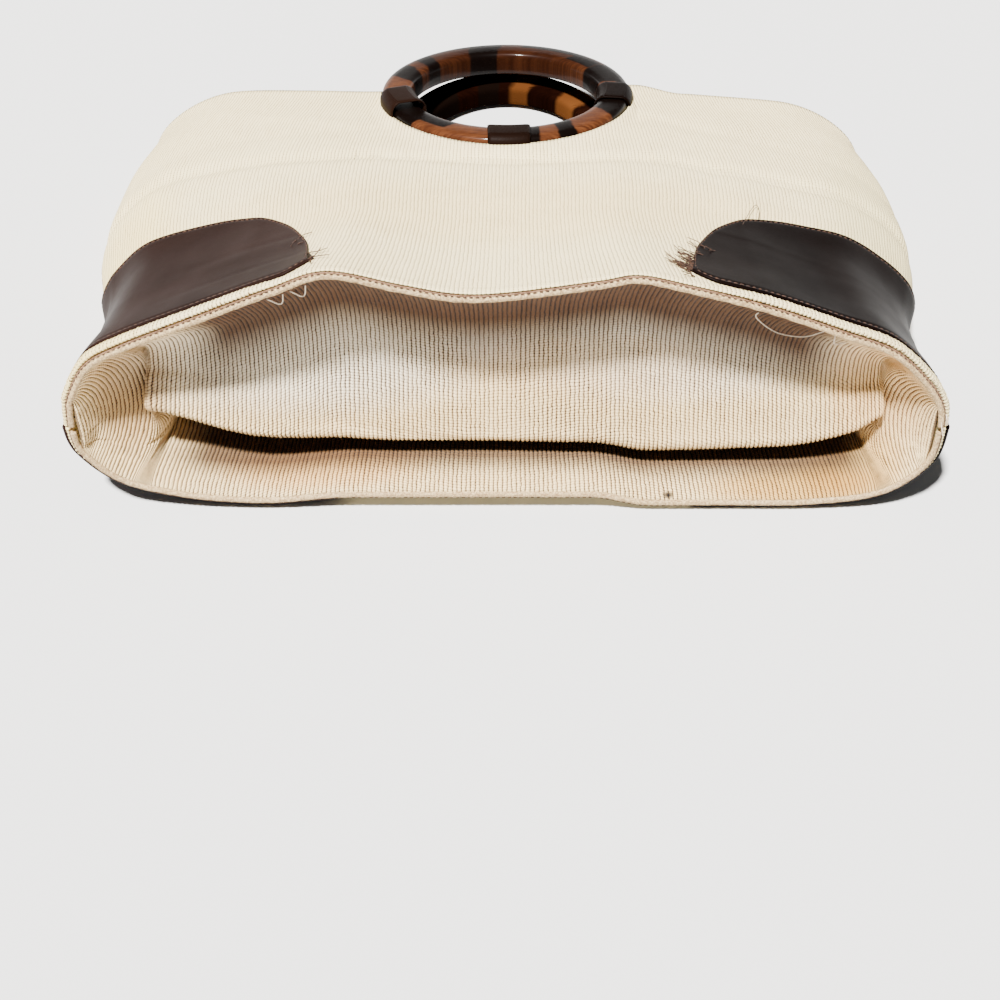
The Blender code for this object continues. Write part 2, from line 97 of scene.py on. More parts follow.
# These sizes belong to the looks alone
RIBS = 240
RIB_PITCH = 0.00206
BEAD = 0.00148
HEM_MIDDLE = 0.0032
HEM_REACH = 0.0027
HEM_ROLL = {"front": 0.0014, "back": 0.0009}
FLOOR_SPARE = 0.0001
TIP_RISE = 0.010

HALF_RIM = 0.5 * RIM_WIDTH
HALF_TOP = 0.5 * TOP_WIDTH
# The visible cloth lies a hair inside its solid's two faces
SKIN = 0.5 * CLOTH - 0.0001
RING_RADIUS = 0.5 * RING_OUTER
BACK_RING = Vector((0.0, PANEL_REACH - RING_PAST_EDGE - RING_STEP, STRAP + GAP + 0.5 * RING_THICKNESS))
FRONT_RING = Vector((0.0, PANEL_REACH - RING_PAST_EDGE, 0.0))
FRONT_RING.z = BACK_RING.z + 0.5 * RING_THICKNESS * (1.0 + math.cos(RING_SLOPE)) + RING_SPACE
FRONT_RING.z += RING_RADIUS * math.sin(RING_SLOPE)

ring_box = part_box("back_ring")
SHIFT = Vector((0.5 * (ring_box[0].x + ring_box[1].x), 0.5 * (ring_box[0].y + ring_box[1].y) - BACK_RING.y, 0.0))
print("the packed bag stands", [round(1000 * value, 2) for value in SHIFT], "mm from the drawing")

# %% Outline tables
RIM_FRONT = (
    (-1.000, 0.00), (-0.995, 0.13), (-0.985, 0.22), (-0.935, 0.42), (-0.855, 0.54), (-0.650, 0.75),
    (-0.500, 0.90), (-0.380, 1.00), (-0.225, 0.92), (-0.110, 0.865), (0.000, 0.87), (0.195, 0.94),
    (0.280, 0.975), (0.385, 0.92), (0.560, 0.80), (0.735, 0.64), (0.855, 0.52), (0.945, 0.32),
    (0.990, 0.15), (1.000, 0.00),
)
RIM_BACK = (
    (-1.000, 0.00), (-0.985, 0.32), (-0.900, 0.70), (-0.750, 0.90), (-0.600, 0.97), (-0.450, 1.00),
    (0.000, 1.00), (0.500, 1.00), (0.720, 0.99), (0.890, 0.85), (0.985, 0.46), (1.000, 0.00),
)
TOP_HALF = (
    (-1.00, 0.00), (-0.99, 0.20), (-0.95, 0.40), (-0.80, 0.72), (-0.60, 0.90), (-0.42, 0.99), (0.00, 1.00),
)
# Share of the length, then the share of the width's change on the left and on the right
WIDTH_CHANGE = (
    (0.00, 0.00, 0.00), (0.15, 0.75, 0.70), (0.29, 0.95, 0.90), (0.45, 0.20, 0.05),
    (0.60, -0.35, -0.35), (0.80, 0.00, 0.00), (1.00, 1.00, 1.00),
)
TOP_EDGE = (
    (-1.00, 0.995), (-0.78, 1.005), (-0.38, 0.975), (0.00, 0.975), (0.37, 1.010), (0.50, 0.968), (1.00, 0.960),
)
BACK_LIFT = ((-1.00, 0.0), (-0.62, 0.0), (-0.36, 1.0), (0.20, 1.0), (0.34, 0.0), (1.00, 0.0))
BACK_REST = (
    (0.00, 1.00, 0.00), (0.16, 0.47, 0.00), (0.31, 0.14, 0.00), (0.45, 0.00, 0.00), (0.72, 0.00, 0.50),
    (1.00, 0.00, 1.00),
)
# The way down, the depth and the lip's rise in the bulge, then the way down and the depth in the hollow ends
BASE_SECTION = (
    (0.000, 0.00, 0.0, 0.00, 0.00), (0.087, 0.15, 0.1, 0.08, 0.20), (0.210, 0.32, 0.2, 0.18, 0.36),
    (0.330, 0.43, 0.3, 0.28, 0.46), (0.460, 0.46, 0.5, 0.38, 0.52), (0.610, 0.43, 0.7, 0.48, 0.55),
    (0.710, 0.37, 0.9, 0.56, 0.56), (0.820, 0.31, 1.0, 0.64, 0.55), (0.865, 0.28, 1.0, 0.71, 0.53),
    (0.905, 0.32, 1.0, 0.77, 0.50), (0.930, 0.50, 0.8, 0.82, 0.46), (0.950, 0.77, 0.5, 0.87, 0.41),
    (0.972, 0.94, 0.2, 0.91, 0.35), (0.995, 0.91, 0.0, 0.94, 0.28), (1.000, 0.62, 0.0, 0.97, 0.19),
    (1.000, 0.22, 0.0, 0.99, 0.10), (1.000, 0.00, 0.0, 1.00, 0.00),
)
LIP_CURVE = (
    (-1.00, 1.00), (-0.82, 0.90), (-0.60, 0.36), (-0.25, 0.00), (0.25, 0.00), (0.67, 0.22), (0.82, 0.55),
    (0.90, 1.00), (1.00, 1.00),
)
PATCH_EDGE = (
    (0.00, 1.00), (0.15, 1.02), (0.35, 1.04), (0.55, 1.02), (0.70, 0.95), (0.82, 0.78), (0.92, 0.50),
    (1.00, 0.13),
)
print("tables for two rims, a top, a base section and the patches")

# %% [markdown]
# ## From tables to surfaces
#
# The cloth is a smooth surface that bends two ways. It could be sculpted by hand, or bent from a flat grid
# with modifiers. Here a table becomes a smooth curve, an outline is read by its real length, and a panel is
# the surface between two outlines. A small grid of such points is refined into a dense one with cubic
# weights, because every later piece can then ask for any point of the cloth and for the way it faces there.

# %% Curves and outlines
def mix(start, end, share):
    return start + (end - start) * share


def smooth_step(low, high, value):
    share = np.clip((np.asarray(value, float) - low) / (high - low), 0.0, 1.0)
    return share * share * (3.0 - 2.0 * share)


def unit(vectors):
    return vectors / np.maximum(np.linalg.norm(vectors, axis=-1, keepdims=True), 1e-12)


def row_value(rows, place, column=1):
    """A column of a table at a place in its first column, along curves that never pass their rows."""
    xs = [row[0] for row in rows]
    ys = [row[column] for row in rows]
    steps = [(ys[k + 1] - ys[k]) / (xs[k + 1] - xs[k]) for k in range(len(rows) - 1)]
    slopes = [0.0]
    for before, after in zip(steps, steps[1:]):
        slopes.append(2.0 * before * after / (before + after) if before * after > 0.0 else 0.0)
    slopes.append(0.0)
    place = np.clip(np.asarray(place, float), xs[0], xs[-1])
    index = np.clip(np.searchsorted(xs, place, side="left") - 1, 0, len(rows) - 2)
    x0, x1 = np.take(xs, index), np.take(xs, index + 1)
    span = x1 - x0
    t = (place - x0) / span
    return (
        np.take(ys, index) * (1 + 2 * t) * (1 - t) ** 2
        + np.take(slopes, index) * span * t * (1 - t) ** 2
        + np.take(ys, index + 1) * t * t * (3 - 2 * t)
        + np.take(slopes, index + 1) * span * t * t * (t - 1)
    )


def four_weights(count, places):
    """The four control values that a place between control values is made from, and their shares."""
    places = np.clip(np.asarray(places, float), 0.0, count - 1.0)
    index = np.minimum(places.astype(int), count - 2)
    t = places - index
    parts = [
        0.5 * (-t + 2 * t * t - t**3),
        0.5 * (2 - 5 * t * t + 3 * t**3),
        0.5 * (t + 4 * t * t - 3 * t**3),
        0.5 * (-t * t + t**3),
    ]
    # At an end, the missing control value lies as far beyond the last one as the one before it
    low, high = index == 0, index == count - 2
    parts[1] = parts[1] + np.where(low, 2 * parts[0], 0.0)
    parts[2] = parts[2] - np.where(low, parts[0], 0.0)
    parts[2] = parts[2] + np.where(high, 2 * parts[3], 0.0)
    parts[1] = parts[1] - np.where(high, parts[3], 0.0)
    parts[0] = np.where(low, 0.0, parts[0])
    parts[3] = np.where(high, 0.0, parts[3])
    numbers = np.clip(index[:, None] + np.arange(-1, 3)[None, :], 0, count - 1)
    return numbers, parts


def cubic_weights(count, places):
    """A matrix that takes count control values to values at the places, counted in control steps."""
    numbers, parts = four_weights(count, places)
    weights = np.zeros((len(numbers), count))
    for k, part in enumerate(parts):
        np.add.at(weights, (np.arange(len(numbers)), numbers[:, k]), part)
    return weights


class Outline:
    """A smooth curve through a table's rows, read by its share of the real length."""

    def __init__(self, rows, wide, high):
        rows = np.array(rows)
        ends = np.vstack([rows[:1], rows, rows[-1:]])
        a, b, c, d = (ends[k : len(rows) - 1 + k, None, :] for k in range(4))
        t = (np.arange(14) / 14)[None, :, None]
        curve = 0.5 * (2 * b + (c - a) * t + (2 * a - 5 * b + 4 * c - d) * t * t + (3 * (b - c) + d - a) * t**3)
        self.points = np.vstack([curve.reshape(-1, 2), rows[-1:]])
        steps = np.linalg.norm(np.diff(self.points, axis=0) * (wide, high), axis=1)
        self.lengths = np.concatenate([[0.0], np.cumsum(steps)])
        self.girth = self.lengths[-1]

    def at(self, share):
        place = np.clip(share, 0.0, 1.0) * self.girth
        return tuple(np.interp(place, self.lengths, self.points[:, k]) for k in range(2))


def both_halves(rows):
    return rows + tuple((-across, share) for across, share in reversed(rows[:-1]))


SIDES = {
    "front": {
        "rim": Outline(RIM_FRONT, HALF_RIM, RIM_HEIGHT - SEAM_HEIGHT_AT_RIM),
        "top": Outline(both_halves(TOP_HALF), HALF_TOP, FRONT_RING.z - SEAM_HEIGHT_AT_TOP),
        "outward": 1.0,
    },
    "back": {
        "rim": Outline(RIM_BACK, HALF_RIM, SEAM_HEIGHT_AT_RIM),
        "top": Outline(both_halves(TOP_HALF), HALF_TOP, SEAM_HEIGHT_AT_TOP),
        "outward": -1.0,
    },
}
for side, facts in SIDES.items():
    print(side, "rim girth", round(1000 * facts["rim"].girth, 1), "mm")


# %% Panel surfaces
def ring_plane(y):
    return FRONT_RING.z - (y - FRONT_RING.y) * math.tan(RING_SLOPE)


def rim_point(side, share):
    across, way = SIDES[side]["rim"].at(share)
    if side == "front":
        up = mix(SEAM_HEIGHT_AT_RIM, RIM_HEIGHT, way)
    else:
        up = mix(SEAM_HEIGHT_AT_RIM, FLAT_MIDDLE, way) + REST_LIFT * row_value(BACK_LIFT, across)
    return np.stack([across * HALF_RIM, up * math.sin(RIM_LEAN), up * math.cos(RIM_LEAN)], axis=-1)


def top_point(side, share):
    across, way = SIDES[side]["top"].at(share)
    into_corner = np.clip(np.abs(across) * HALF_TOP - (HALF_TOP - CORNER_RADIUS), 0.0, CORNER_RADIUS)
    lost = CORNER_RADIUS - np.sqrt(CORNER_RADIUS**2 - into_corner**2)
    y = PANEL_REACH * row_value(TOP_EDGE, across) - lost
    middle = ring_plane(y) if side == "front" else BACK_RING.z
    return np.stack([across * HALF_TOP, y, mix(SEAM_HEIGHT_AT_TOP, middle, way)], axis=-1)


def width_share(across, along):
    left, right = (row_value(WIDTH_CHANGE, along, column) for column in (1, 2))
    return mix(1.0, TOP_WIDTH / RIM_WIDTH, mix(left, right, 0.5 * (1.0 + across)))


def panel_point(side, share, along):
    """Points of a panel's middle surface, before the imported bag's shift."""
    rim, top = rim_point(side, share), top_point(side, share)
    point = rim + (top - rim) * np.asarray(along)[..., None]
    across = mix(rim[..., 0] / HALF_RIM, top[..., 0] / HALF_TOP, along)
    point[..., 0] = across * HALF_RIM * width_share(across, along)
    if side == "front":
        proud = np.maximum(rim[..., 2] - ring_plane(rim[..., 1]), 0.0)
        point[..., 2] -= proud * along * (1.0 - along)
    else:
        lifted = (rim[..., 2] - FLAT_MIDDLE) * row_value(BACK_REST, along, 1)
        rise = (top[..., 2] - FLAT_MIDDLE) * row_value(BACK_REST, along, 2)
        way = SIDES[side]["rim"].at(share)[1]
        point[..., 2] = mix(point[..., 2], FLAT_MIDDLE + lifted + rise, smooth_step(*SIDE_TO_FLAT, way))
    return point


def grid_normals(grid):
    """Unit normals of a grid of points, from across and along."""
    return unit(np.cross(np.gradient(grid, axis=1), np.gradient(grid, axis=0)))


class Surface:
    """A smooth surface through a grid of control points, read anywhere by (across, along) from 0 to 1."""

    def __init__(self, grid, flip):
        self.grid = grid
        self.normals = grid_normals(grid) * flip

    def read(self, u, v):
        """Points and normals for every pair of u and v values, as a grid with v down and u across."""
        rows = cubic_weights(self.grid.shape[0], np.asarray(v) * (self.grid.shape[0] - 1))
        columns = cubic_weights(self.grid.shape[1], np.asarray(u) * (self.grid.shape[1] - 1))
        points, normals = (
            np.einsum("ri,ijk,cj->rck", rows, field, columns, optimize=True)
            for field in (self.grid, self.normals)
        )
        return points, unit(normals)

    def read_each(self, u, v):
        """Points and normals at matching lists of u and v."""
        shape = np.shape(u)
        fields = np.concatenate([self.grid, self.normals], axis=-1)
        rows, row_parts = four_weights(self.grid.shape[0], np.ravel(v) * (self.grid.shape[0] - 1))
        columns, column_parts = four_weights(self.grid.shape[1], np.ravel(u) * (self.grid.shape[1] - 1))
        total = np.zeros((len(rows), 6))
        for i in range(4):
            for j in range(4):
                total += (row_parts[i] * column_parts[j])[:, None] * fields[rows[:, i], columns[:, j]]
        return total[:, :3].reshape(*shape, 3), unit(total[:, 3:]).reshape(*shape, 3)


def one_point(surface, u, v, out=0.0):
    """A single point of a surface, moved out from it."""
    point, normal = surface.read_each(np.array([u]), np.array([v]))
    return point[0] + normal[0] * out


def panel_surface(side):
    shares, alongs = np.meshgrid(np.linspace(0.0, 1.0, 121), np.linspace(0.0, 1.0, 41))
    grid = panel_point(side, shares, alongs) + np.array(SHIFT)
    return Surface(grid, 1.0 if side == "front" else -1.0)


PANELS = {side: panel_surface(side) for side in SIDES}


def panel_length(side, share):
    return np.linalg.norm(top_point(side, share) - rim_point(side, share), axis=-1)


print("panel surfaces with", PANELS["front"].grid.shape[:2], "control points each")


# %% Base surface
def rim_line(side):
    """The rim as many points (across in metres, height along the leaning plane)."""
    points = rim_point(side, np.linspace(0.0, 1.0, 1600))
    return points[:, 0], points[:, 2] / math.cos(RIM_LEAN)


def base_height(side, x):
    """The height of the base's edge, its inset away from every point of the rim."""
    places, heights = rim_line(side)
    outward = SIDES[side]["outward"]
    away = places[None, :] - np.atleast_1d(x)[:, None]
    reach = np.sqrt(np.maximum(BASE_INSET**2 - away**2, 0.0))
    low = np.where(np.abs(away) < BASE_INSET, outward * heights[None, :] - reach, np.inf)
    return outward * low.min(axis=1)


def base_grid(columns, rows):
    """Control points of the base's middle surface."""
    across = BASE_END * np.linspace(-1.0, 1.0, columns)
    front, back = (base_height(side, across * HALF_RIM) for side in ("front", "back"))
    rows_in = np.linspace(0.0, len(BASE_SECTION) - 1.0, rows)
    section = cubic_weights(len(BASE_SECTION), rows_in) @ np.array(BASE_SECTION)
    left, right = BULGE_ENDS
    bulge = smooth_step(left - BULGE_FADE, left, across) * (1.0 - smooth_step(right, right + BULGE_FADE, across))
    bulge_down, bulge_depth, rise, hollow_down, hollow_depth = (section[:, k][:, None] for k in range(5))
    down = mix(hollow_down, bulge_down, bulge[None, :])
    share = mix(hollow_depth, bulge_depth, bulge[None, :])
    up = mix(front[None, :], back[None, :], down) + LIP_RISE * rise * bulge * row_value(LIP_CURVE, across)
    fade = np.sqrt(np.maximum(1.0 - (np.abs(across) / BASE_END) ** 8, 0.0))
    depth = BASE_DEPTH * share * fade
    x = across * HALF_RIM - np.sign(across) * END_INSET * share * (1.0 - bulge) * fade
    x = x * width_share(across[None, :] + 0.0 * depth, depth / PANEL_REACH)
    return np.stack([x, up * math.sin(RIM_LEAN) + depth, up * math.cos(RIM_LEAN)], axis=-1) + np.array(SHIFT)


BASE = Surface(base_grid(181, 65), -1.0)
print("base surface with", BASE.grid.shape[:2], "control points")

# %% [markdown]
# ## Shader nodes as short expressions
#
# A weave, a grain or a stripe is a pattern of many small sums, and each sum is a node. The nodes could be
# added and linked one by one, at several lines each. Here a small class wraps a shader socket, so that a
# pattern reads as arithmetic. Colours go through Mix nodes. The same class serves cloth, leather and wood.

# %% Shader helper
class Sock:
    """A shader value that takes part in arithmetic."""

    def __init__(self, tree, socket):
        self.tree, self.socket = tree, socket

    def math(self, operation, *others):
        made = self.tree.nodes.new("ShaderNodeMath")
        made.operation = operation
        for place, value in enumerate((self, *others)):
            plug(self.tree, made.inputs[place], value)
        return Sock(self.tree, made.outputs[0])

    def __add__(self, other):
        return self.math("ADD", other)

    def __sub__(self, other):
        return self.math("SUBTRACT", other)

    def __mul__(self, other):
        return self.math("MULTIPLY", other)

    def __truediv__(self, other):
        return self.math("DIVIDE", other)

    def __pow__(self, other):
        return self.math("POWER", other)

    def __rsub__(self, other):
        return (self * -1.0) + other

    __radd__, __rmul__ = __add__, __mul__

    def step(self, low, high):
        """A smooth step from 0 at low to 1 at high."""
        made = self.tree.nodes.new("ShaderNodeMapRange")
        made.interpolation_type = "SMOOTHSTEP"
        for place, value in enumerate((self, low, high, 0.0, 1.0)):
            plug(self.tree, made.inputs[place], value)
        return Sock(self.tree, made.outputs[0])


def plug(tree, target, value):
    if isinstance(value, Sock):
        tree.links.new(value.socket, target)
    else:
        target.default_value = value


class Paint:
    """One material with its Principled BSDF, and the nodes that feed it."""

    def __init__(self, name, **constants):
        self.material = bpy.data.materials.new(name)
        self.material.use_nodes = True
        self.tree = self.material.node_tree
        self.shader = self.tree.nodes["Principled BSDF"]
        for socket, value in constants.items():
            self.shader.inputs[socket.replace("_", " ")].default_value = value

    def node(self, kind, settings=None, output=0, **inputs):
        made = self.tree.nodes.new(kind)
        for key, value in (settings or {}).items():
            setattr(made, key, value)
        for key, value in inputs.items():
            plug(self.tree, made.inputs[key.replace("_", " ")], value)
        return Sock(self.tree, made.outputs[output])

    def parts(self, vector):
        split = self.tree.nodes.new("ShaderNodeSeparateXYZ")
        plug(self.tree, split.inputs[0], vector)
        return [Sock(self.tree, socket) for socket in split.outputs]

    def vector(self, x, y, z):
        return self.node("ShaderNodeCombineXYZ", X=x, Y=y, Z=z)

    def place(self):
        return self.node("ShaderNodeTexCoord", output=3)

    def attribute(self, name):
        return self.node("ShaderNodeAttribute", {"attribute_name": name}, output=1)

    def noise(self, vector, scale, detail=3.0, roughness=0.55):
        return self.node("ShaderNodeTexNoise", Vector=vector, Scale=scale, Detail=detail, Roughness=roughness)

    def colour(self, share, start, end, kind="MIX"):
        made = self.tree.nodes.new("ShaderNodeMix")
        made.data_type, made.blend_type = "RGBA", kind
        for place, value in ((0, share), (6, start), (7, end)):
            plug(self.tree, made.inputs[place], (*value, 1.0) if isinstance(value, tuple) else value)
        return Sock(self.tree, made.outputs[2])

    def bump(self, height, distance, strength=1.0):
        return self.node("ShaderNodeBump", Height=height, Distance=distance, Strength=strength)

    def feed(self, **inputs):
        for key, value in inputs.items():
            plug(self.tree, self.shader.inputs[key.replace("_", " ")], value)
        return self.material


def near(paint, place, centre, size):
    """1 at a centre and 0 beyond a size given along each axis."""
    parts = paint.parts(place)
    squares = [((part - middle) / reach) ** 2.0 for part, middle, reach in zip(parts, centre, size)]
    return 1.0 - (squares[0] + squares[1] + squares[2]).step(0.0, 1.0)


print("shader helper ready")

# %% [markdown]
# ## Cloth and leather
#
# The cloth is a coarse weave of pale ribs with dark dots between them. An image could be laid over it, but
# sines across and along the ribs draw the threads at any size, and noise makes them uneven. They follow the
# weave attribute, which holds each point's place in the cloth, so that the pattern bends with it. The
# leather is smooth and dull, so fine cells and a few clouds are enough.

# %% Cloth and leather
def cloth_paint(name, crest, gap, dot, wide, stains_and_shading, relief=0.0005):
    """Ribbed cloth with dark dots in the gaps. The weave attribute counts ribs across and metres along,
    and its third value is how much painted shade darkens the cloth.

    Wide is how much of a rib's width the gap takes. Stains and shading are (colour, strength, centre, size),
    some real stains and some painted shade and painted light. Relief is the height of the threads in the bump.
    """
    paint = Paint(name, Roughness=0.95)
    place = paint.place()
    ribs, metres, shade_depth = paint.parts(paint.attribute("weave"))
    wander = paint.noise(place, 300.0, 2.0)
    drift = paint.noise(place, 70.0, 2.0)
    ribs_seen = ribs + (wander - 0.5) * 0.55
    beads = metres / BEAD + (drift - 0.5) * 2.4 + (wander - 0.5) * 0.8
    rib = (ribs_seen * math.pi).math("SINE").math("ABSOLUTE")
    bead = (beads * math.pi).math("SINE").math("ABSOLUTE")
    fibre = paint.noise(place, 2400.0, 4.0, 0.7)
    slub = paint.noise(paint.vector(ribs * 0.9, metres * 90.0, 0.0), 1.0, 2.0)
    patchy = paint.noise(place, 45.0, 3.0)
    uneven = (slub - 0.5) * 0.30 + (patchy - 0.5) * 0.25
    hollow = 1.0 - rib.step(wide * 0.35, wide + uneven)
    between = (1.0 - bead.step(0.12, 0.60 + uneven)) * (0.42 + patchy * 0.4)
    dip = hollow.math("MAXIMUM", between)
    pit = (hollow * 0.62 + between * 0.80 + (fibre - 0.5) * 0.5).step(0.45, 0.92)
    shade = paint.colour(dip * (0.60 + patchy * 0.5), crest, gap)
    shade = paint.colour((pit * (0.70 + patchy * 0.9)).math("MINIMUM", 1.0), shade, dot)
    shade = paint.colour((slub - 0.30) * 0.7, shade, (0.86, 0.80, 0.66), "MULTIPLY")
    shade = paint.colour((fibre - 0.36) * 0.8, shade, (0.66, 0.55, 0.40), "MULTIPLY")
    # Painted shade: the weave attribute's third value darkens the base deep in its fold
    shade = paint.colour(shade_depth, shade, (0.095, 0.052, 0.028), "MULTIPLY")
    for tint, strength, centre, size in stains_and_shading:
        shade = paint.colour(near(paint, place, centre, size) * strength, shade, tint, "MULTIPLY")
    height = (rib**0.6) * (0.55 + bead**0.7 * 0.45) + (fibre - 0.5) * 0.15
    return paint.feed(Base_Color=shade, Normal=paint.bump(height, relief, 1.0))


def leather_paint(name, tone, wear):
    """Dull smooth leather with a fine grain. Wear is how dark its clouds are.
    It darkens towards +X, partly its own darker tone and partly painted shade.
    """
    paint = Paint(name, Specular_IOR_Level=0.014)
    place = paint.place()
    grain = paint.node("ShaderNodeTexVoronoi", {"feature": "F1"}, Vector=place, Scale=1500.0)
    soft = paint.noise(place, 55.0, 4.0)
    cloud = paint.noise(place, 14.0, 3.0)
    fine = paint.noise(place, 900.0, 3.0)
    shade = paint.colour(cloud.step(0.3, 0.75), tone, tuple(value * wear for value in tone))
    shade = paint.colour(fine.step(0.55, 0.8) * 0.35, shade, tuple(value * 1.9 for value in tone))
    # Darker towards +X: partly the leather's own darker tone, partly painted shade on the side away from the
    # lamp
    right_tone_and_shade = paint.parts(place)[0].step(-0.06, 0.10)
    shade = paint.colour(right_tone_and_shade, shade, (0.22, 0.22, 0.23), "MULTIPLY")
    height = grain * 0.35 + soft * 1.2 + fine * 0.25
    return paint.feed(Base_Color=shade, Roughness=0.34 + soft * 0.16, Normal=paint.bump(height, 0.00018, 0.45))


print("cloth and leather patterns ready")

# %% [markdown]
# ## Striped wood
#
# The handles are of varnished wood with dark stripes across it. A Wave Texture would set its stripes at
# even steps, and the real ones are uneven, so each row of a stripe table gives where one dark stripe lies
# round the ring. The ring attribute holds each point's place in its own ring, which keeps the stripes on
# the wood however a ring leans.

# %% Wood
# From and to are degrees round the ring from the side that faces the base, towards +X.
# Inner and outer are where the stripe begins and ends over the ring's width, from 0 at the hole to 1 outside.
FRONT_STRIPES = (
    (-119.0, -104.0, -0.5, 1.5), (-136.0, -125.0, -0.5, 1.5), (-177.0, -158.0, -0.5, 1.5),
    (136.0, 172.0, 0.55, 1.6), (122.0, 140.0, 0.20, 0.75), (98.0, 122.0, -0.5, 1.5),
    (60.0, 79.0, -0.5, 1.5), (27.0, 36.0, -0.5, 1.5), (10.0, 17.0, -0.5, 1.5),
    (-80.0, -44.0, -0.5, 1.6), (-50.0, -30.0, 0.15, 0.70), (-158.0, -150.0, 0.7, 1.6),
)
BACK_STRIPES = (
    (-150.0, -100.0, -0.5, 1.5), (-60.0, -20.0, -0.5, 1.5), (20.0, 44.0, -0.5, 1.5), (60.0, 116.0, -0.5, 1.5),
    (-178.0, -164.0, -0.5, 1.5),
)
# Painted light: two tan patches on the back ring, where light shows through the gap between the rings
PAINTED_LIGHT_PATCHES = ((161.0, 177.0), (128.0, 146.0))


def wood_paint(name, coat, stripes, light, brown, black, lit_patches):
    """Striped wood under a coat of varnish, with painted patches of light between two degrees round the ring,
    and painted shade on the ring's far half.

    The ring attribute holds the ring's own x and y and the share of its width.
    """
    paint = Paint(name, Coat_Weight=coat, Coat_Roughness=0.10, Roughness=0.32, Specular_IOR_Level=0.25 * coat)
    x, y, across = paint.parts(paint.attribute("ring"))
    turn = x.math("ARCTAN2", y * -1.0) * math.degrees(1.0)
    flat = paint.vector(x, y, across * 0.004)
    wave = (paint.noise(flat, 55.0, 2.0) - 0.5) * 9.0 + (paint.noise(flat, 380.0, 2.0) - 0.5) * 2.0
    slant = turn + wave + (across - 0.5) * 5.0
    inset = across + wave * 0.010
    dark = None
    for start, end, inner, outer in stripes:
        edge = slant.step(start - 0.8, start + 0.8) * (1.0 - slant.step(end - 0.8, end + 0.8))
        side = inset.step(inner - 0.04, inner + 0.04) * (1.0 - inset.step(outer - 0.04, outer + 0.04))
        dark = edge * side if dark is None else dark.math("MAXIMUM", edge * side)
    grain = paint.noise(paint.vector(x * 90.0, y * 900.0, across * 3.0), 1.0, 4.0, 0.65)
    cloud = paint.noise(flat, 70.0, 3.0)
    shade = paint.colour(grain.step(0.3, 0.72), brown, light)
    shade = paint.colour(cloud.step(0.40, 0.75) * 0.6, shade, brown)
    # Painted light: tan patches where light comes through the gap between the rings
    for start, end in lit_patches:
        spot = (slant + (grain - 0.5) * 8.0).step(start, start + 4.0) * (1.0 - slant.step(end - 4.0, end))
        shade = paint.colour(spot * 0.95, shade, (0.20, 0.075, 0.02))
    # Painted shade: the ring's far half, away from the base, is darkened
    shade = paint.colour(y.step(0.0, 0.045) * 0.9, shade, (0.24, 0.20, 0.20), "MULTIPLY")
    shade = paint.colour(dark, shade, black)
    height = grain * 0.5 + paint.noise(flat, 300.0, 2.0) * 0.3
    return paint.feed(Base_Color=shade, Roughness=0.30 + grain * 0.16, Normal=paint.bump(height, 0.0001, 0.35))


print(len(FRONT_STRIPES), "dark stripes on the front ring")


# %% Threads and the finished materials
def thread_paint(name, tone, dark):
    paint = Paint(name, Roughness=0.8)
    twist = paint.noise(paint.place(), 1100.0, 4.0, 0.7)
    shade = paint.colour(twist.step(0.35, 0.7), dark, tone)
    return paint.feed(Base_Color=shade, Normal=paint.bump(twist, 0.0002, 0.6))


def moved(point):
    return tuple(value + shift for value, shift in zip(point, SHIFT))


# Stains and shading are (colour, strength, centre, size along each axis). The pale blue ones are painted
# light: they lighten and cool the upper pillow below the front rim's shadow.
FRONT_STAINS_AND_SHADING = (
    ((0.99, 0.93, 0.83), 0.8, moved((0.0, 0.10, 0.09)), (0.20, 0.045, 0.08)),
    ((1.0, 0.95, 0.74), 0.9, moved((-0.175, 0.06, 0.07)), (0.035, 0.12, 0.08)),
    # The third is cooler and darker: the cooler tone is the cloth's own, the darkening is painted shade on the
    # right end
    ((0.86, 0.89, 0.84), 0.8, moved((0.18, 0.10, 0.05)), (0.045, 0.12, 0.08)),
)


def base_spot(u, v):
    return tuple(one_point(BASE, u, v))


HOLE = base_spot(0.6975, 0.988)
BASE_STAINS_AND_SHADING = (
    ((0.02, 0.012, 0.008), 1.0, HOLE, (0.0032, 0.0026, 0.0030)),
    ((0.74, 0.58, 0.30), 0.95, base_spot(0.860, 0.965), (0.055, 0.016, 0.012)),
    ((0.85, 0.72, 0.46), 0.90, base_spot(0.935, 0.93), (0.034, 0.024, 0.026)),
    # Painted light: lighter and cooler on the upper pillow, below the front rim's shadow
    ((1.00, 1.18, 1.75), 0.95, base_spot(0.26, 0.28), (0.110, 0.040, 0.036)),
    ((1.00, 1.18, 1.75), 0.95, base_spot(0.70, 0.25), (0.110, 0.038, 0.034)),
    ((0.93, 0.74, 0.52), 0.90, base_spot(0.27, 0.93), (0.060, 0.018, 0.012)),
    ((0.96, 0.80, 0.62), 0.70, base_spot(0.95, 0.30), (0.030, 0.040, 0.050)),
    # Painted shade: darker in the hollow left end
    ((0.55, 0.45, 0.36), 0.85, base_spot(0.03, 0.35), (0.022, 0.040, 0.045)),
    ((0.97, 0.86, 0.72), 0.70, base_spot(0.60, 0.30), (0.080, 0.030, 0.020)),
)
cloth_front = cloth_paint(
    "front_cloth_weave", (0.95, 0.81, 0.46), (0.90, 0.75, 0.42), (0.17, 0.10, 0.045), 0.45, FRONT_STAINS_AND_SHADING, 0.00032
)
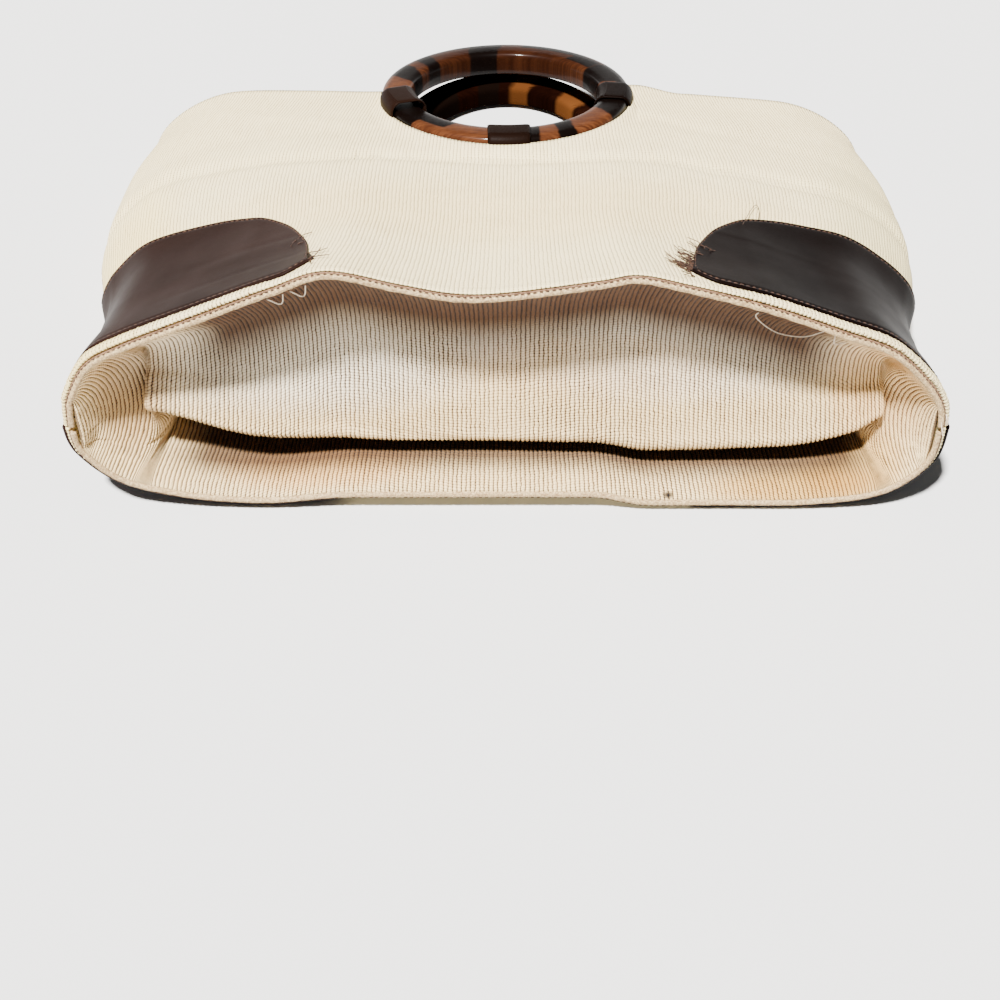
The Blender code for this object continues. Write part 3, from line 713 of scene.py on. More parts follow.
# The base's gaps and dots are darker than the front's: partly the cloth's dark weft, partly painted shade inside
# the bag
cloth_base = cloth_paint(
    "base_cloth_shaded_weave", (0.95, 0.72, 0.38), (0.30, 0.17, 0.07), (0.014, 0.006, 0.003), 0.64, BASE_STAINS_AND_SHADING
)
hem_cloth = thread_paint("hem_cord", (0.70, 0.52, 0.27), (0.24, 0.14, 0.06))
leather = leather_paint("dark_leather", (0.0165, 0.0082, 0.0064), 0.6)
strap_leather = leather_paint("strap_leather", (0.0095, 0.0042, 0.0026), 0.6)
seam_thread = thread_paint("brown_thread", (0.085, 0.036, 0.017), (0.02, 0.009, 0.005))
groove_thread = thread_paint("groove_thread", (0.34, 0.19, 0.10), (0.10, 0.045, 0.02))
cream_thread = thread_paint("cream_thread", (0.80, 0.70, 0.55), (0.55, 0.44, 0.32))
wood_front = wood_paint(
    "striped_wood", 0.12, FRONT_STRIPES, (0.088, 0.030, 0.011), (0.036, 0.011, 0.0045),
    (0.0022, 0.0011, 0.0008), (),
)
# The back ring is the same wood in darker colours: painted shade, as it lies under the front ring
wood_back = wood_paint(
    "shaded_striped_wood", 0.0, BACK_STRIPES, (0.022, 0.0065, 0.003), (0.010, 0.003, 0.0016),
    (0.003, 0.0015, 0.001), PAINTED_LIGHT_PATCHES,
)
print(len(bpy.data.materials), "materials")

# %% [markdown]
# ## Mesh helpers
#
# Cloth and leather have a thickness that shows at their edges. A Solidify modifier would give one, but it
# would copy every rib to the hidden side. A wall here is a dense outer grid with its ribs, a coarser inner
# grid, and a strip that closes the rim between them, so that the triangles are spent where they are seen.

# %% Meshes
def show(thing):
    bpy.context.scene.collection.objects.link(thing)


def add_mesh(name, points, faces, material, attribute=None):
    """A smooth mesh object. The attribute is (its name, one vector for each point)."""
    mesh = bpy.data.meshes.new(name)
    mesh.from_pydata(np.asarray(points).tolist(), [], [list(face) for face in faces])
    mesh.validate()
    if attribute:
        made = mesh.attributes.new(attribute[0], "FLOAT_VECTOR", "POINT")
        made.data.foreach_set("vector", np.asarray(attribute[1], np.float32).ravel())
    mesh.shade_smooth()
    mesh.materials.append(material)
    piece = bpy.data.objects.new(name, mesh)
    show(piece)
    return piece


def finish_piece(piece, nodes):
    """The piece rides on the bag, stands for its plain solids and prints its face count."""
    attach(piece, "root")
    if nodes:
        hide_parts(*nodes)
    print(piece.name, len(piece.data.polygons), "faces")
    return piece


def add_detail(name, shape, material):
    """A piece that stands for no solid of its own, from its points and faces."""
    return finish_piece(add_mesh(name, *shape, material), [])


def grid_faces(rows, columns, start=0, closed=False):
    """Quads of a grid of points stored row by row."""
    i, j = np.meshgrid(np.arange(rows - 1), np.arange(columns if closed else columns - 1), indexing="ij")
    after = (j + 1) % columns
    here, below = i * columns, (i + 1) * columns
    quads = np.stack([here + j, here + after, below + after, below + j], -1)
    return (quads.reshape(-1, 4) + start).tolist()


def border(rows, columns, start=0):
    """The four sides of a grid's edge, each as a list of point numbers, going round once."""
    number = np.arange(rows * columns).reshape(rows, columns) + start
    return [number[0, :], number[:, -1], number[-1, ::-1], number[::-1, 0]]


def zip_faces(first, second):
    """Triangles between two lines of points that start and end beside each other."""
    faces, i, j = [], 0, 0
    while i < len(first) - 1 or j < len(second) - 1:
        ahead = (i + 1) / (len(first) - 1) <= (j + 1) / (len(second) - 1)
        if j == len(second) - 1 or (ahead and i < len(first) - 1):
            faces.append((first[i], second[j], first[i + 1]))
            i += 1
        else:
            faces.append((first[i], second[j], second[j + 1]))
            j += 1
    return faces


def wall(name, outer, inner, material, weave):
    """A closed wall from two grids of points over the same surface, the outer one dense."""
    rows, columns = outer.shape[:2]
    low_rows, low_columns = inner.shape[:2]
    start = rows * columns
    points = np.vstack([outer.reshape(-1, 3), inner.reshape(-1, 3)])
    faces = grid_faces(rows, columns)
    faces += [face[::-1] for face in grid_faces(low_rows, low_columns, start)]
    for first, second in zip(border(rows, columns), border(low_rows, low_columns, start)):
        faces += zip_faces(first.tolist(), second.tolist())
    inner_weave = np.zeros((low_rows * low_columns, 3))
    inner_weave[:, 0] = np.tile(np.linspace(weave[0, 0, 0], weave[0, -1, 0], low_columns), low_rows)
    inner_weave[:, 1] = np.repeat(np.linspace(weave[0, 0, 1], weave[-1, 0, 1], low_rows), low_columns)
    weave = np.vstack([weave.reshape(-1, 3), inner_weave])
    return add_mesh(name, points, facing_out(points, faces), material, ("weave", weave))


def signed_volume(points, faces):
    total = 0.0
    for size in (3, 4):
        chosen = np.array([face for face in faces if len(face) == size])
        for k in range(1, size - 1):
            if len(chosen):
                a, b, c = points[chosen[:, 0]], points[chosen[:, k]], points[chosen[:, k + 1]]
                total += np.einsum("ij,ij->", a, np.cross(b, c))
    return total


def facing_out(points, faces):
    """The faces with their normals turned outward."""
    return [face[::-1] for face in faces] if signed_volume(points, faces) < 0 else faces


def smooth_path(places, count):
    places = np.asarray(places, float)
    return cubic_weights(len(places), np.linspace(0, len(places) - 1, count)) @ places


def tube(path, radii, sides):
    """Points and faces of a closed tube along a path, with a radius for each point."""
    tangents = unit(np.gradient(path, axis=0))
    side = unit(np.cross(tangents, (0.0, 0.0, 1.0)))
    rise = np.cross(side, tangents)
    angles = np.linspace(0.0, 2 * math.pi, sides, endpoint=False)[None, :, None]
    spokes = np.cos(angles) * side[:, None] + np.sin(angles) * rise[:, None]
    rings = path[:, None] + radii[:, None, None] * spokes
    points = np.vstack([rings.reshape(-1, 3), path[:1], path[-1:]])
    faces = grid_faces(len(path), sides, closed=True)
    first, last = len(path) * sides, len(path) * sides + 1
    for k in range(sides):
        after = (k + 1) % sides
        faces.append((first, after, k))
        faces.append((last, first - sides + k, first - sides + after))
    return points, facing_out(points, faces)


def join_parts(parts):
    """Several (points, faces) as one."""
    points, faces, start = [], [], 0
    for some_points, some_faces in parts:
        points.append(some_points)
        faces += [tuple(number + start for number in face) for face in some_faces]
        start += len(some_points)
    return np.vstack(points), faces


print("mesh helpers ready")

# %% [markdown]
# ## The two cloth panels
#
# The front and back are ribbed cloth. A bump could draw the ribs, but they also show in the outline, so
# each one runs from the rim to the top as a real ridge. At the rim the cloth is turned over, which makes a
# rope-like roll at the corners. Around the front ring the top edge follows a round bay and hugs the wood. A
# cloth simulation could make the soft folds. A sum of slanted waves is quicker and comes out the same each
# time.

# %% Panels
# The hem turns over: its rows go round a roll, at these degrees from the inside over the edge to the outside
HEM_TURNS = (-62.0, -40.0, -18.0, 6.0, 30.0, 52.0, 74.0, 96.0, 118.0, 138.0, 156.0, 172.0)
BODY_ROWS = 70
PER_RIB = 4
COARSE = 8
# The panels' cloth starts and ends this share of the girth from the side seams
PANEL_ENDS = (0.0012, 0.9988)


def rib_profile(count, height):
    """The height of each dense column: a valley, a shoulder, a crest and a shoulder, no two ribs alike."""
    chosen = np.random.default_rng(count)
    shape = np.array([-1.0, 0.45, 1.0, 0.45]) * height * chosen.uniform(0.45, 1.35, (count, 1))
    return np.append(shape.ravel(), -height)


def ring_axes(side):
    if side == "front":
        return Matrix.Translation(FRONT_RING + SHIFT) @ Matrix.Rotation(-RING_SLOPE, 4, "X")
    return Matrix.Translation(BACK_RING + SHIFT) @ Matrix.Rotation(math.pi, 4, "Y")


def to_bag(side, local):
    """Points of a ring's own frame as points of the bag."""
    axes = np.array(ring_axes(side))
    return local.reshape(-1, 3) @ axes[:3, :3].T + axes[:3, 3]


def bay_end(side, surface, u, radius):
    """How far each column runs before it meets the round bay, as a share of its length."""
    steps = np.linspace(0.0, 1.0, 500)
    points, _ = surface.read(u, steps)
    inverse = np.array(ring_axes(side).inverted())
    local = points @ inverse[:3, :3].T + inverse[:3, 3]
    inside = np.hypot(local[..., 0], local[..., 1]) < radius
    first = np.where(inside.any(axis=0), inside.argmax(axis=0), len(steps) - 1)
    return steps[first]


def wrinkles(u, v, seed, count, height, low, high):
    """Soft folds: a sum of slanted waves over (u, v), each fading out from its own place."""
    chosen = np.random.default_rng(seed)
    total = np.zeros(np.broadcast(u, v).shape)
    for _ in range(count):
        cu, cv = chosen.uniform(0.05, 0.95), chosen.uniform(low, high)
        turn, wide, long = chosen.uniform(-0.5, 0.5), chosen.uniform(0.012, 0.03), chosen.uniform(0.08, 0.2)
        du, dv = u - cu, v - cv
        along, across = du * math.cos(turn) + dv * math.sin(turn), -du * math.sin(turn) + dv * math.cos(turn)
        total += chosen.uniform(-1, 1) * np.exp(-((along / long) ** 2) - (across / wide) ** 2)
    return total * height


def make_panel(side):
    """A panel's cloth: a rolled hem, real ribs, soft folds, and a top edge that hugs the front ring."""
    surface = PANELS[side]
    columns = RIBS * PER_RIB + 1
    u = np.linspace(*PANEL_ENDS, columns)
    ends = bay_end(side, surface, u, RING_RADIUS + 0.0006)
    length = panel_length(side, u)
    turns = np.radians(HEM_TURNS)[:, None]
    hem = HEM_MIDDLE - HEM_REACH * np.cos(turns) + 0.0 * length
    start = HEM_MIDDLE + HEM_REACH + 0.0004
    body = np.linspace(0.0, 1.0, BODY_ROWS)[:, None]
    v = np.vstack([hem / length, mix(start / length, ends, body)])
    turns = np.vstack([turns, np.full((BODY_ROWS, 1), math.pi)])
    places = np.broadcast_to(u, v.shape)
    across = rim_point(side, u)[None, :, 0] / HALF_RIM
    corner = smooth_step(0.40, 0.58, np.abs(across))
    top, bottom = SKIN + mix(0.0003, HEM_ROLL[side], corner), -SKIN
    round_hem = 0.5 * (top + bottom) + 0.5 * (top - bottom) * np.sin(turns)
    thick = np.where(turns > 0.5 * math.pi, np.maximum(round_hem, SKIN), round_hem)
    hem_row = turns < 3.1
    ribs = rib_profile(RIBS, 0.00005) * np.where(hem_row, mix(2.0, 5.5, corner), 1.0)
    folds = wrinkles(places, v, 3 if side == "front" else 5, 26, 0.0007, 0.15, 0.95)
    crease = -0.0021 * np.exp(-(((v - 0.60 - 0.03 * np.sin(5 * places)) / 0.022) ** 2)) * (side == "front")
    waves = (folds + crease) * smooth_step(0.02, 0.10, v) * smooth_step(0.0, 0.06, ends - v)
    hug = 0.0022 * np.exp(-(((ends - v) * length) / 0.010) ** 2) * (ends < 0.999) * (side == "front")
    v = np.clip(v - ribs * np.cos(turns) * hem_row / length, 0.0, 1.0)
    points, normals = surface.read_each(places, v)
    outward = thick + ribs * np.where(hem_row, np.sin(turns), 1.0) + waves + hug
    outer = points + normals * outward[..., None]
    outer[..., 2] = np.maximum(outer[..., 2], FLOOR_SPARE + 0.0004)
    inner_rows = np.unique(np.append(np.arange(len(HEM_TURNS), v.shape[0], 6), v.shape[0] - 1))
    chosen = np.ix_(inner_rows, np.arange(0, columns, COARSE))
    inner = points[chosen] + normals[chosen] * (-SKIN + (waves + hug)[chosen])[..., None]
    weave = np.stack([places * RIBS, v * length, 0.0 * v], axis=-1)
    return finish_piece(wall(f"{side}_cloth", outer, inner, cloth_front, weave), [f"{side}_panel"])


def half_area(piece):
    """A closed wall's area, counted on one side."""
    return 0.5 * sum(face.area for face in piece.data.polygons)


cloths = {side: make_panel(side) for side in SIDES}
for side, piece in cloths.items():
    print(side, "cloth measures", round(half_area(piece), 4), "square metres")

# %% [markdown]
# ## The folded base
#
# The base is one ribbed cloth, pushed into the bag. It runs in under the front rim, swells into a pillow
# and comes back out along the table. A simulation would seldom fall into just this fold, so the fold is
# drawn as a section for the bulge and one for the hollow ends, and the two are blended across the bag.

# %% Base
def make_base():
    """The folded base's cloth. Its ribs keep their own width where it turns in at the two ends."""
    fine = np.linspace(0.0, 1.0, 1200)
    trial, _ = BASE.read(fine, np.linspace(0.08, 1.0, 12))
    steps = np.linalg.norm(np.diff(trial, axis=1), axis=-1).max(axis=0)
    width = np.concatenate([[0.0], np.cumsum(steps)])
    ribs_across = round(width[-1] / RIB_PITCH)
    columns = ribs_across * PER_RIB + 1
    u = np.interp(np.linspace(0.0, width[-1], columns), width, fine)
    # More rows where the cloth turns round in the gap under the lip
    rows = np.sort(np.concatenate([np.linspace(0.0, 1.0, 88), np.linspace(0.60, 0.80, 14)[1:-1]]))
    points, normals = BASE.read(u, rows)
    lengths = np.concatenate(
        [np.zeros((1, columns)), np.cumsum(np.linalg.norm(np.diff(points, axis=0), axis=-1), axis=0)]
    )
    places, v = np.broadcast_to(u, lengths.shape), np.broadcast_to(rows[:, None], lengths.shape)
    ribs = rib_profile(ribs_across, 0.00034)
    edge = smooth_step(0.0, 0.004, lengths) * smooth_step(0.0, 0.004, lengths[-1] - lengths)
    folds = wrinkles(places, v, 11, 18, 0.0009, 0.1, 0.9)
    swell = 0.0008 * np.sin(9.0 * places + 1.0) * np.sin(math.pi * v) ** 2
    waves = (folds + swell) * edge
    outer = points + normals * (SKIN + ribs * edge + waves)[..., None]
    inner_rows = np.unique(np.append(np.arange(0, len(rows), 4), len(rows) - 1))
    chosen = np.ix_(inner_rows, np.arange(0, columns, COARSE))
    inner = points[chosen] + normals[chosen] * (-SKIN + waves[chosen])[..., None]
    # Painted shade darkens the fold deep under the front rim and in the gap under the lip,
    # but not at the two ends
    lip = 0.92 * smooth_step(0.50, 0.56, v) * smooth_step(0.007, 0.021, lengths[-1] - lengths)
    lip = lip * smooth_step(0.06, 0.13, places) * (1.0 - smooth_step(0.92, 0.97, places))
    rim = 1.0 - smooth_step(0.036, 0.070, lengths)
    painted_shade = np.maximum(rim * smooth_step(0.10, 0.17, places) * (1.0 - smooth_step(0.85, 0.92, places)), lip)
    number = np.broadcast_to(np.arange(columns) / PER_RIB, lengths.shape)
    weave = np.stack([number, lengths, painted_shade], axis=-1)
    return finish_piece(wall("base_cloth", outer, inner, cloth_base, weave), ["base_panel"])


base_cloth = make_base()
print("base cloth measures", round(half_area(base_cloth), 4), "square metres")

# %% [markdown]
# ## The rim: hem cords and brown stitching
#
# A smooth cord edges the base cloth all round the opening, and dark stitches lie in the groove beside it.
# The cord is a tube along the rim's own points. The stitches could be made one by one in a loop. Geometry
# Nodes puts copies of a single stitch along a curve at even steps instead, and the same tree then serves
# the patches too.

# %% Hem cords, grooves and seams
CORD_RADIUS = 0.00135
GROOVE_RADIUS = 0.0004
SEAM_RADIUS = 0.0022
rng = np.random.default_rng(7)


def rim_path(side, inset, forward, low, high, count):
    """Points along a rim, inset towards the bag's inside in the rim's plane and moved forward from it."""
    share = np.linspace(low, high, count)
    points = rim_point(side, share)
    tangents = np.gradient(points, axis=0)
    plane = np.array([0.0, -math.cos(RIM_LEAN), math.sin(RIM_LEAN)])
    inward = unit(np.cross(tangents, plane) * SIDES[side]["outward"])
    return points + np.array(SHIFT) + inward * inset + plane * forward


def make_cord(side):
    """The smooth cord along a rim, a little uneven in thickness."""
    path = rim_path(side, 0.0021, 0.0004, 0.004, 0.996, 900)
    wobble = 1.0 + 0.06 * np.sin(np.arange(900) * 0.37) + 0.05 * rng.standard_normal(900)
    radii = CORD_RADIUS * np.convolve(np.pad(wobble, 2, mode="edge"), np.ones(5) / 5, mode="valid")
    return add_detail(f"{side}_hem_cord", tube(path, radii, 10), hem_cloth)


def make_groove(side):
    """The dark thread that fills the groove between the hem and the smooth cord."""
    path = rim_path(side, 0.0006, 0.0002, 0.004, 0.996, 700)
    return add_detail(f"{side}_rim_groove", tube(path, np.full(700, GROOVE_RADIUS), 6), groove_thread)


def make_seam(hand, name, low, high, material):
    """A seam that closes the gap between the two panels along one side, between two shares of its length."""
    share = np.linspace(low, high, 120)
    place = np.full(120, PANEL_ENDS[0] if hand == "left" else PANEL_ENDS[1])
    front, _ = PANELS["front"].read_each(place, share)
    back, _ = PANELS["back"].read_each(place, share)
    gap = np.linalg.norm(front - back, axis=1)
    ends = np.sqrt(np.clip(np.minimum(share - low, high - share) / 0.01, 0.05, 1.0))
    beads = 1.0 + 0.10 * np.sin(np.arange(120) * 2.1)
    radii = (np.minimum(0.5 * gap, SEAM_RADIUS) + 0.0004) * beads * ends
    return add_detail(f"{hand}_{name}", tube(0.5 * (front + back), radii, 10), material)


hem_cords = {side: make_cord(side) for side in SIDES}
for hand in ("left", "right"):
    make_seam(hand, "leather_seam", 0.012, 0.335, leather)
    make_seam(hand, "cloth_seam", 0.330, 0.860, cloth_front)
grooves = {side: make_groove(side) for side in SIDES}


# %% Stitches with Geometry Nodes
def capsule():
    """A short stitch along X, one unit long, with rounded ends."""
    path = np.array([[x, 0.0, 0.06 - 0.24 * x * x] for x in np.linspace(-0.5, 0.5, 6)])
    radii = 0.17 * np.array([0.25, 0.85, 1.0, 1.0, 0.85, 0.25])
    points, faces = tube(path, radii, 6)
    mesh = bpy.data.meshes.new("stitch_shape")
    mesh.from_pydata(points.tolist(), [], faces)
    mesh.shade_smooth()
    return mesh


def stitch_tree():
    """Stitches at even steps along a curve, each turned along it and a little different in size."""
    tree = bpy.data.node_groups.new("stitches", "GeometryNodeTree")
    sockets = {
        "Geometry": "Geometry", "Shape": "Object", "Spacing": "Float", "Size": "Float", "Material": "Material",
    }
    for name, kind in sockets.items():
        tree.interface.new_socket(name, in_out="INPUT", socket_type="NodeSocket" + kind)
    tree.interface.new_socket("Geometry", in_out="OUTPUT", socket_type="NodeSocketGeometry")
    kinds = {
        "inputs": "NodeGroupInput", "outputs": "NodeGroupOutput", "resample": "GeometryNodeResampleCurve",
        "shape": "GeometryNodeObjectInfo", "tangent": "GeometryNodeInputTangent",
        "turn": "FunctionNodeAlignRotationToVector", "jitter": "FunctionNodeRandomValue",
        "scale": "ShaderNodeVectorMath", "place": "GeometryNodeInstanceOnPoints",
        "realize": "GeometryNodeRealizeInstances", "paint": "GeometryNodeSetMaterial",
    }
    nodes = {name: tree.nodes.new(kind) for name, kind in kinds.items()}
    nodes["resample"].mode = "LENGTH"
    nodes["turn"].axis = "X"
    nodes["scale"].operation = "SCALE"
    nodes["jitter"].data_type = "FLOAT_VECTOR"
    for socket, value in ((0, (0.85, 0.8, 0.8)), (1, (1.15, 1.2, 1.2)), ("Seed", 4)):
        nodes["jitter"].inputs[socket].default_value = value
    wires = (
        ("inputs", "Geometry", "resample", "Curve"), ("inputs", "Spacing", "resample", "Length"),
        ("inputs", "Shape", "shape", "Object"), ("tangent", 0, "turn", "Vector"), ("jitter", 0, "scale", 0),
        ("inputs", "Size", "scale", "Scale"), ("resample", 0, "place", "Points"),
        ("shape", "Geometry", "place", "Instance"), ("turn", 0, "place", "Rotation"),
        ("scale", 0, "place", "Scale"), ("place", 0, "realize", 0), ("realize", 0, "paint", "Geometry"),
        ("inputs", "Material", "paint", "Material"), ("paint", 0, "outputs", 0),
    )
    for source, output, target, place in wires:
        tree.links.new(nodes[source].outputs[output], nodes[target].inputs[place])
    return tree


STITCHES = stitch_tree()
stitch_shape = bpy.data.objects.new("stitch_shape", capsule())


def stitch_row(name, path, spacing, size, material):
    """Stitches along a path of points, as one finished mesh."""
    curve = bpy.data.curves.new(name + "_path", "CURVE")
    curve.dimensions = "3D"
    line = curve.splines.new("POLY")
    line.points.add(len(path) - 1)
    for point, place in zip(line.points, path):
        point.co = (*place, 1.0)
    guide = bpy.data.objects.new(name + "_path", curve)
    show(guide)
    modifier = guide.modifiers.new("stitches", "NODES")
    modifier.node_group = STITCHES
    values = {"Shape": stitch_shape, "Spacing": spacing, "Size": size, "Material": material}
    for item in STITCHES.interface.items_tree:
        if item.in_out == "INPUT" and item.name in values:
            modifier[item.identifier] = values[item.name]
    bpy.context.view_layer.update()
    evaluated = guide.evaluated_get(bpy.context.evaluated_depsgraph_get())
    mesh = bpy.data.meshes.new_from_object(evaluated)
    mesh.name = name
    bpy.data.objects.remove(guide)
    piece = bpy.data.objects.new(name, mesh)
    mesh.materials.clear()
    mesh.materials.append(material)
    mesh.shade_smooth()
    show(piece)
    return finish_piece(piece, [])


for side in SIDES:
    path = rim_path(side, 0.0007, 0.0011, 0.006, 0.994, 700)
    stitch_row(f"{side}_rim_stitches", path, 0.0026, 0.0015, seam_thread)

# %% [markdown]
# ## Leather corner patches
#
# Dark leather covers each lower corner. A flat patch could be wrapped on with a Shrinkwrap modifier, but
# its edge would stretch. Each patch is measured out along the cloth instead and lies on its panel's own
# surface, with rounded edges, a sewn groove set in from the edge and its stitches.

# %% Patches
ROUNDED_EDGE = 0.0011
STITCH_INSET = 0.0022


def hem_lift(side, metres):
    """How far the corner's hem roll lifts the leather that runs over it."""
    away = (metres - HEM_MIDDLE) / (HEM_REACH + 0.0005)
    return HEM_ROLL[side] * np.sqrt(np.clip(1.0 - away**2, 0.0, 1.0))


def patch_grid(side, hand, across, down, inset=0.0):
    """(u, v) places of a patch. Across is 0 at the seam, 1 at the tip, down is 0 at the hem, 1 at the top."""
    girth = SIDES[side]["rim"].girth
    tip = PATCH_GIRTH * PATCH_TIP - inset
    metres = mix(0.0006, tip, across)
    lower = PATCH_LOWER[side] + inset + TIP_RISE * np.clip(metres / PATCH_GIRTH * 10.0 - 9.0, 0.0, 1.0) ** 2
    upper = PATCH_REACH * row_value(PATCH_EDGE, metres / PATCH_GIRTH) - inset
    upper = np.maximum(upper, lower + 0.0004)
    u = metres / girth
    u = u if hand == "left" else 1.0 - u
    return u, mix(lower, upper, down) / panel_length(side, u), metres, lower, upper


def make_patch(side, hand):
    """A patch as a closed wall with a sewn groove, and its stitches."""
    surface = PANELS[side]
    across = np.linspace(0.0, 1.0, 150)[None, :] ** 0.9
    near_edge = np.array([0.0, 0.004, 0.010, 0.018, 0.028, 0.040])
    down = np.concatenate([near_edge, np.linspace(0.055, 0.945, 40), 1.0 - near_edge[::-1]])[:, None]
    across, down = np.broadcast_arrays(across, down)
    u, v, metres, lower, upper = patch_grid(side, hand, across, down)
    points, normals = surface.read_each(u, v)
    reach = down * (upper - lower)
    border_distance = np.minimum(reach, (upper - lower) - reach)
    border_distance = np.minimum(border_distance, PATCH_GIRTH * PATCH_TIP - metres)
    rounding = np.sqrt(np.clip(1.0 - (1.0 - np.clip(border_distance / ROUNDED_EDGE, 0, 1)) ** 2, 0.0, 1.0))
    groove = -0.00030 * np.exp(-(((border_distance - STITCH_INSET) / 0.0006) ** 2))
    seed = {"left": 21, "right": 23}[hand] + (side == "back")
    soft = wrinkles(u, v * 2.0, seed, 8, 0.0002, 0.1, 0.8)
    bottom = 0.5 * CLOTH + 0.00012
    lift = hem_lift(side, v * panel_length(side, u))
    height = bottom + 0.0002 + (LEATHER - 0.0002) * rounding + groove + soft * rounding + lift
    outer = points + normals * height[..., None]
    outer[..., 2] = np.maximum(outer[..., 2], FLOOR_SPARE)
    rows, columns = points.shape[:2]
    some_rows = np.append(np.arange(0, rows - 1, 5), rows - 1)
    some_columns = np.append(np.arange(0, columns - 1, 8), columns - 1)
    chosen = np.ix_(some_rows, some_columns)
    inner = points[chosen] + normals[chosen] * (bottom + lift[chosen])[..., None]
    inner[..., 2] = np.maximum(inner[..., 2], FLOOR_SPARE + 0.0002)
    weave = np.stack([u, v, np.zeros_like(u)], axis=-1)
    piece = wall(f"{side}_{hand}_leather", outer, inner, leather, weave)
    finish_piece(piece, [f"{side}_{hand}_patch"])
    run = np.concatenate([np.linspace(0.02, 0.985, 160), np.linspace(0.985, 0.02, 160)])
    level = np.concatenate([np.ones(160), np.zeros(160)])
    u, v, *_ = patch_grid(side, hand, run, level, inset=STITCH_INSET)
    places, ways = surface.read_each(u, v)
    line = places + ways * (bottom + LEATHER - 0.0003)
    stitch_row(f"{side}_{hand}_patch_stitches", line, 0.0027, 0.0019, seam_thread)


for side in SIDES:
    for hand in ("left", "right"):
        make_patch(side, hand)

# %% [markdown]
# ## Rings and loops
#
# The rings are turned wood with a rounded oblong section. A torus would give a round one, so the section is
# a formula that is swept round the ring. The straps wrap round them, and their tails go in behind the
# cloth. A strap is one line round the section, thickened to both sides. The front ring's left one sits
# slack with an arched gap.

# %% Rings
SECTION_POWER = 2.0 / 4.4


def make_ring(side, material):
    """A ring with a rounded oblong section. Its attribute tells the wood where each point lies on it."""
    steps, around = 200, 36
    turn = np.linspace(0.0, 2 * math.pi, steps, endpoint=False)
    roll = np.linspace(0.0, 2 * math.pi, around, endpoint=False)
    out = np.sign(np.cos(roll)) * np.abs(np.cos(roll)) ** SECTION_POWER * 0.5 * RING_WIDTH
    up = np.sign(np.sin(roll)) * np.abs(np.sin(roll)) ** SECTION_POWER * 0.5 * RING_THICKNESS
    middle = RING_RADIUS - 0.5 * RING_WIDTH
    waver = 1.0 + 0.004 * np.sin(3 * turn + 0.7)
    radius = middle + out[None, :] * waver[:, None]
    # The turn is counted from the side that faces the base, towards +X
    x, y = radius * np.sin(turn)[:, None], -radius * np.cos(turn)[:, None]
    local = np.stack([x, y, np.broadcast_to(up, radius.shape)], axis=-1)
    if side == "back":
        local = local * (-1.0, 1.0, -1.0)
    points = to_bag(side, local)
    i, j = np.meshgrid(np.arange(steps), np.arange(around), indexing="ij")
    k, m = (i + 1) % steps, (j + 1) % around
    faces = np.stack([i * around + j, k * around + j, k * around + m, i * around + m], -1).reshape(-1, 4)
    faces = facing_out(points, faces.tolist())
    width = (radius - (middle - 0.5 * RING_WIDTH)) / RING_WIDTH
    facts = np.stack([x, y, width], axis=-1).reshape(-1, 3)
    piece = add_mesh(f"{side}_wood_ring", points, faces, material, ("ring", facts))
    finish_piece(piece, [f"{side}_ring"])


make_ring("front", wood_front)
make_ring("back", wood_back)


# %% Loops
# Each loop's degrees round the ring, from the side that faces the base towards +X, and how far it stands off
LOOPS = (("left", -70.0, 0.0030), ("bottom", 1.5, 0.0), ("right", 84.0, 0.0))
SECTION_CORNER = 0.0042
TAIL_DROP = 0.0026
TAIL_PLACES = (0.0039, 0.012, 0.020)


def strap_line(slack):
    """The strap's middle line round the ring's section, as (distance past the ring's outside, height)."""
    off = GAP + 0.5 * STRAP
    edge = SECTION_CORNER + off
    face = 0.5 * RING_THICKNESS + off
    hole = -RING_WIDTH - off
    start, bend, tip = TAIL_PLACES
    points = [(tip, -TAIL_DROP), (bend, -TAIL_DROP), (off + STRAP, -TAIL_DROP), (off, -TAIL_DROP + STRAP)]
    arcs = (
        (off - edge, face - edge, 0.0, slack, 8),
        (hole + edge, face - edge, 90.0, slack, 8),
        (hole + edge, edge - face, 180.0, 0.0, 8),
        (off - edge, edge - face, 270.0, 0.0, 6),
    )
    for distance, height, first, raised, steps in arcs:
        for step in range(steps):
            turn = math.radians(first + 80.0 * step / (steps - 1))
            points.append((distance + edge * math.cos(turn), height + raised + edge * math.sin(turn)))
    low = -TAIL_DROP - STRAP - GAP
    points += [(off + start, low), (bend, low), (tip, low)]
    return np.array(points)


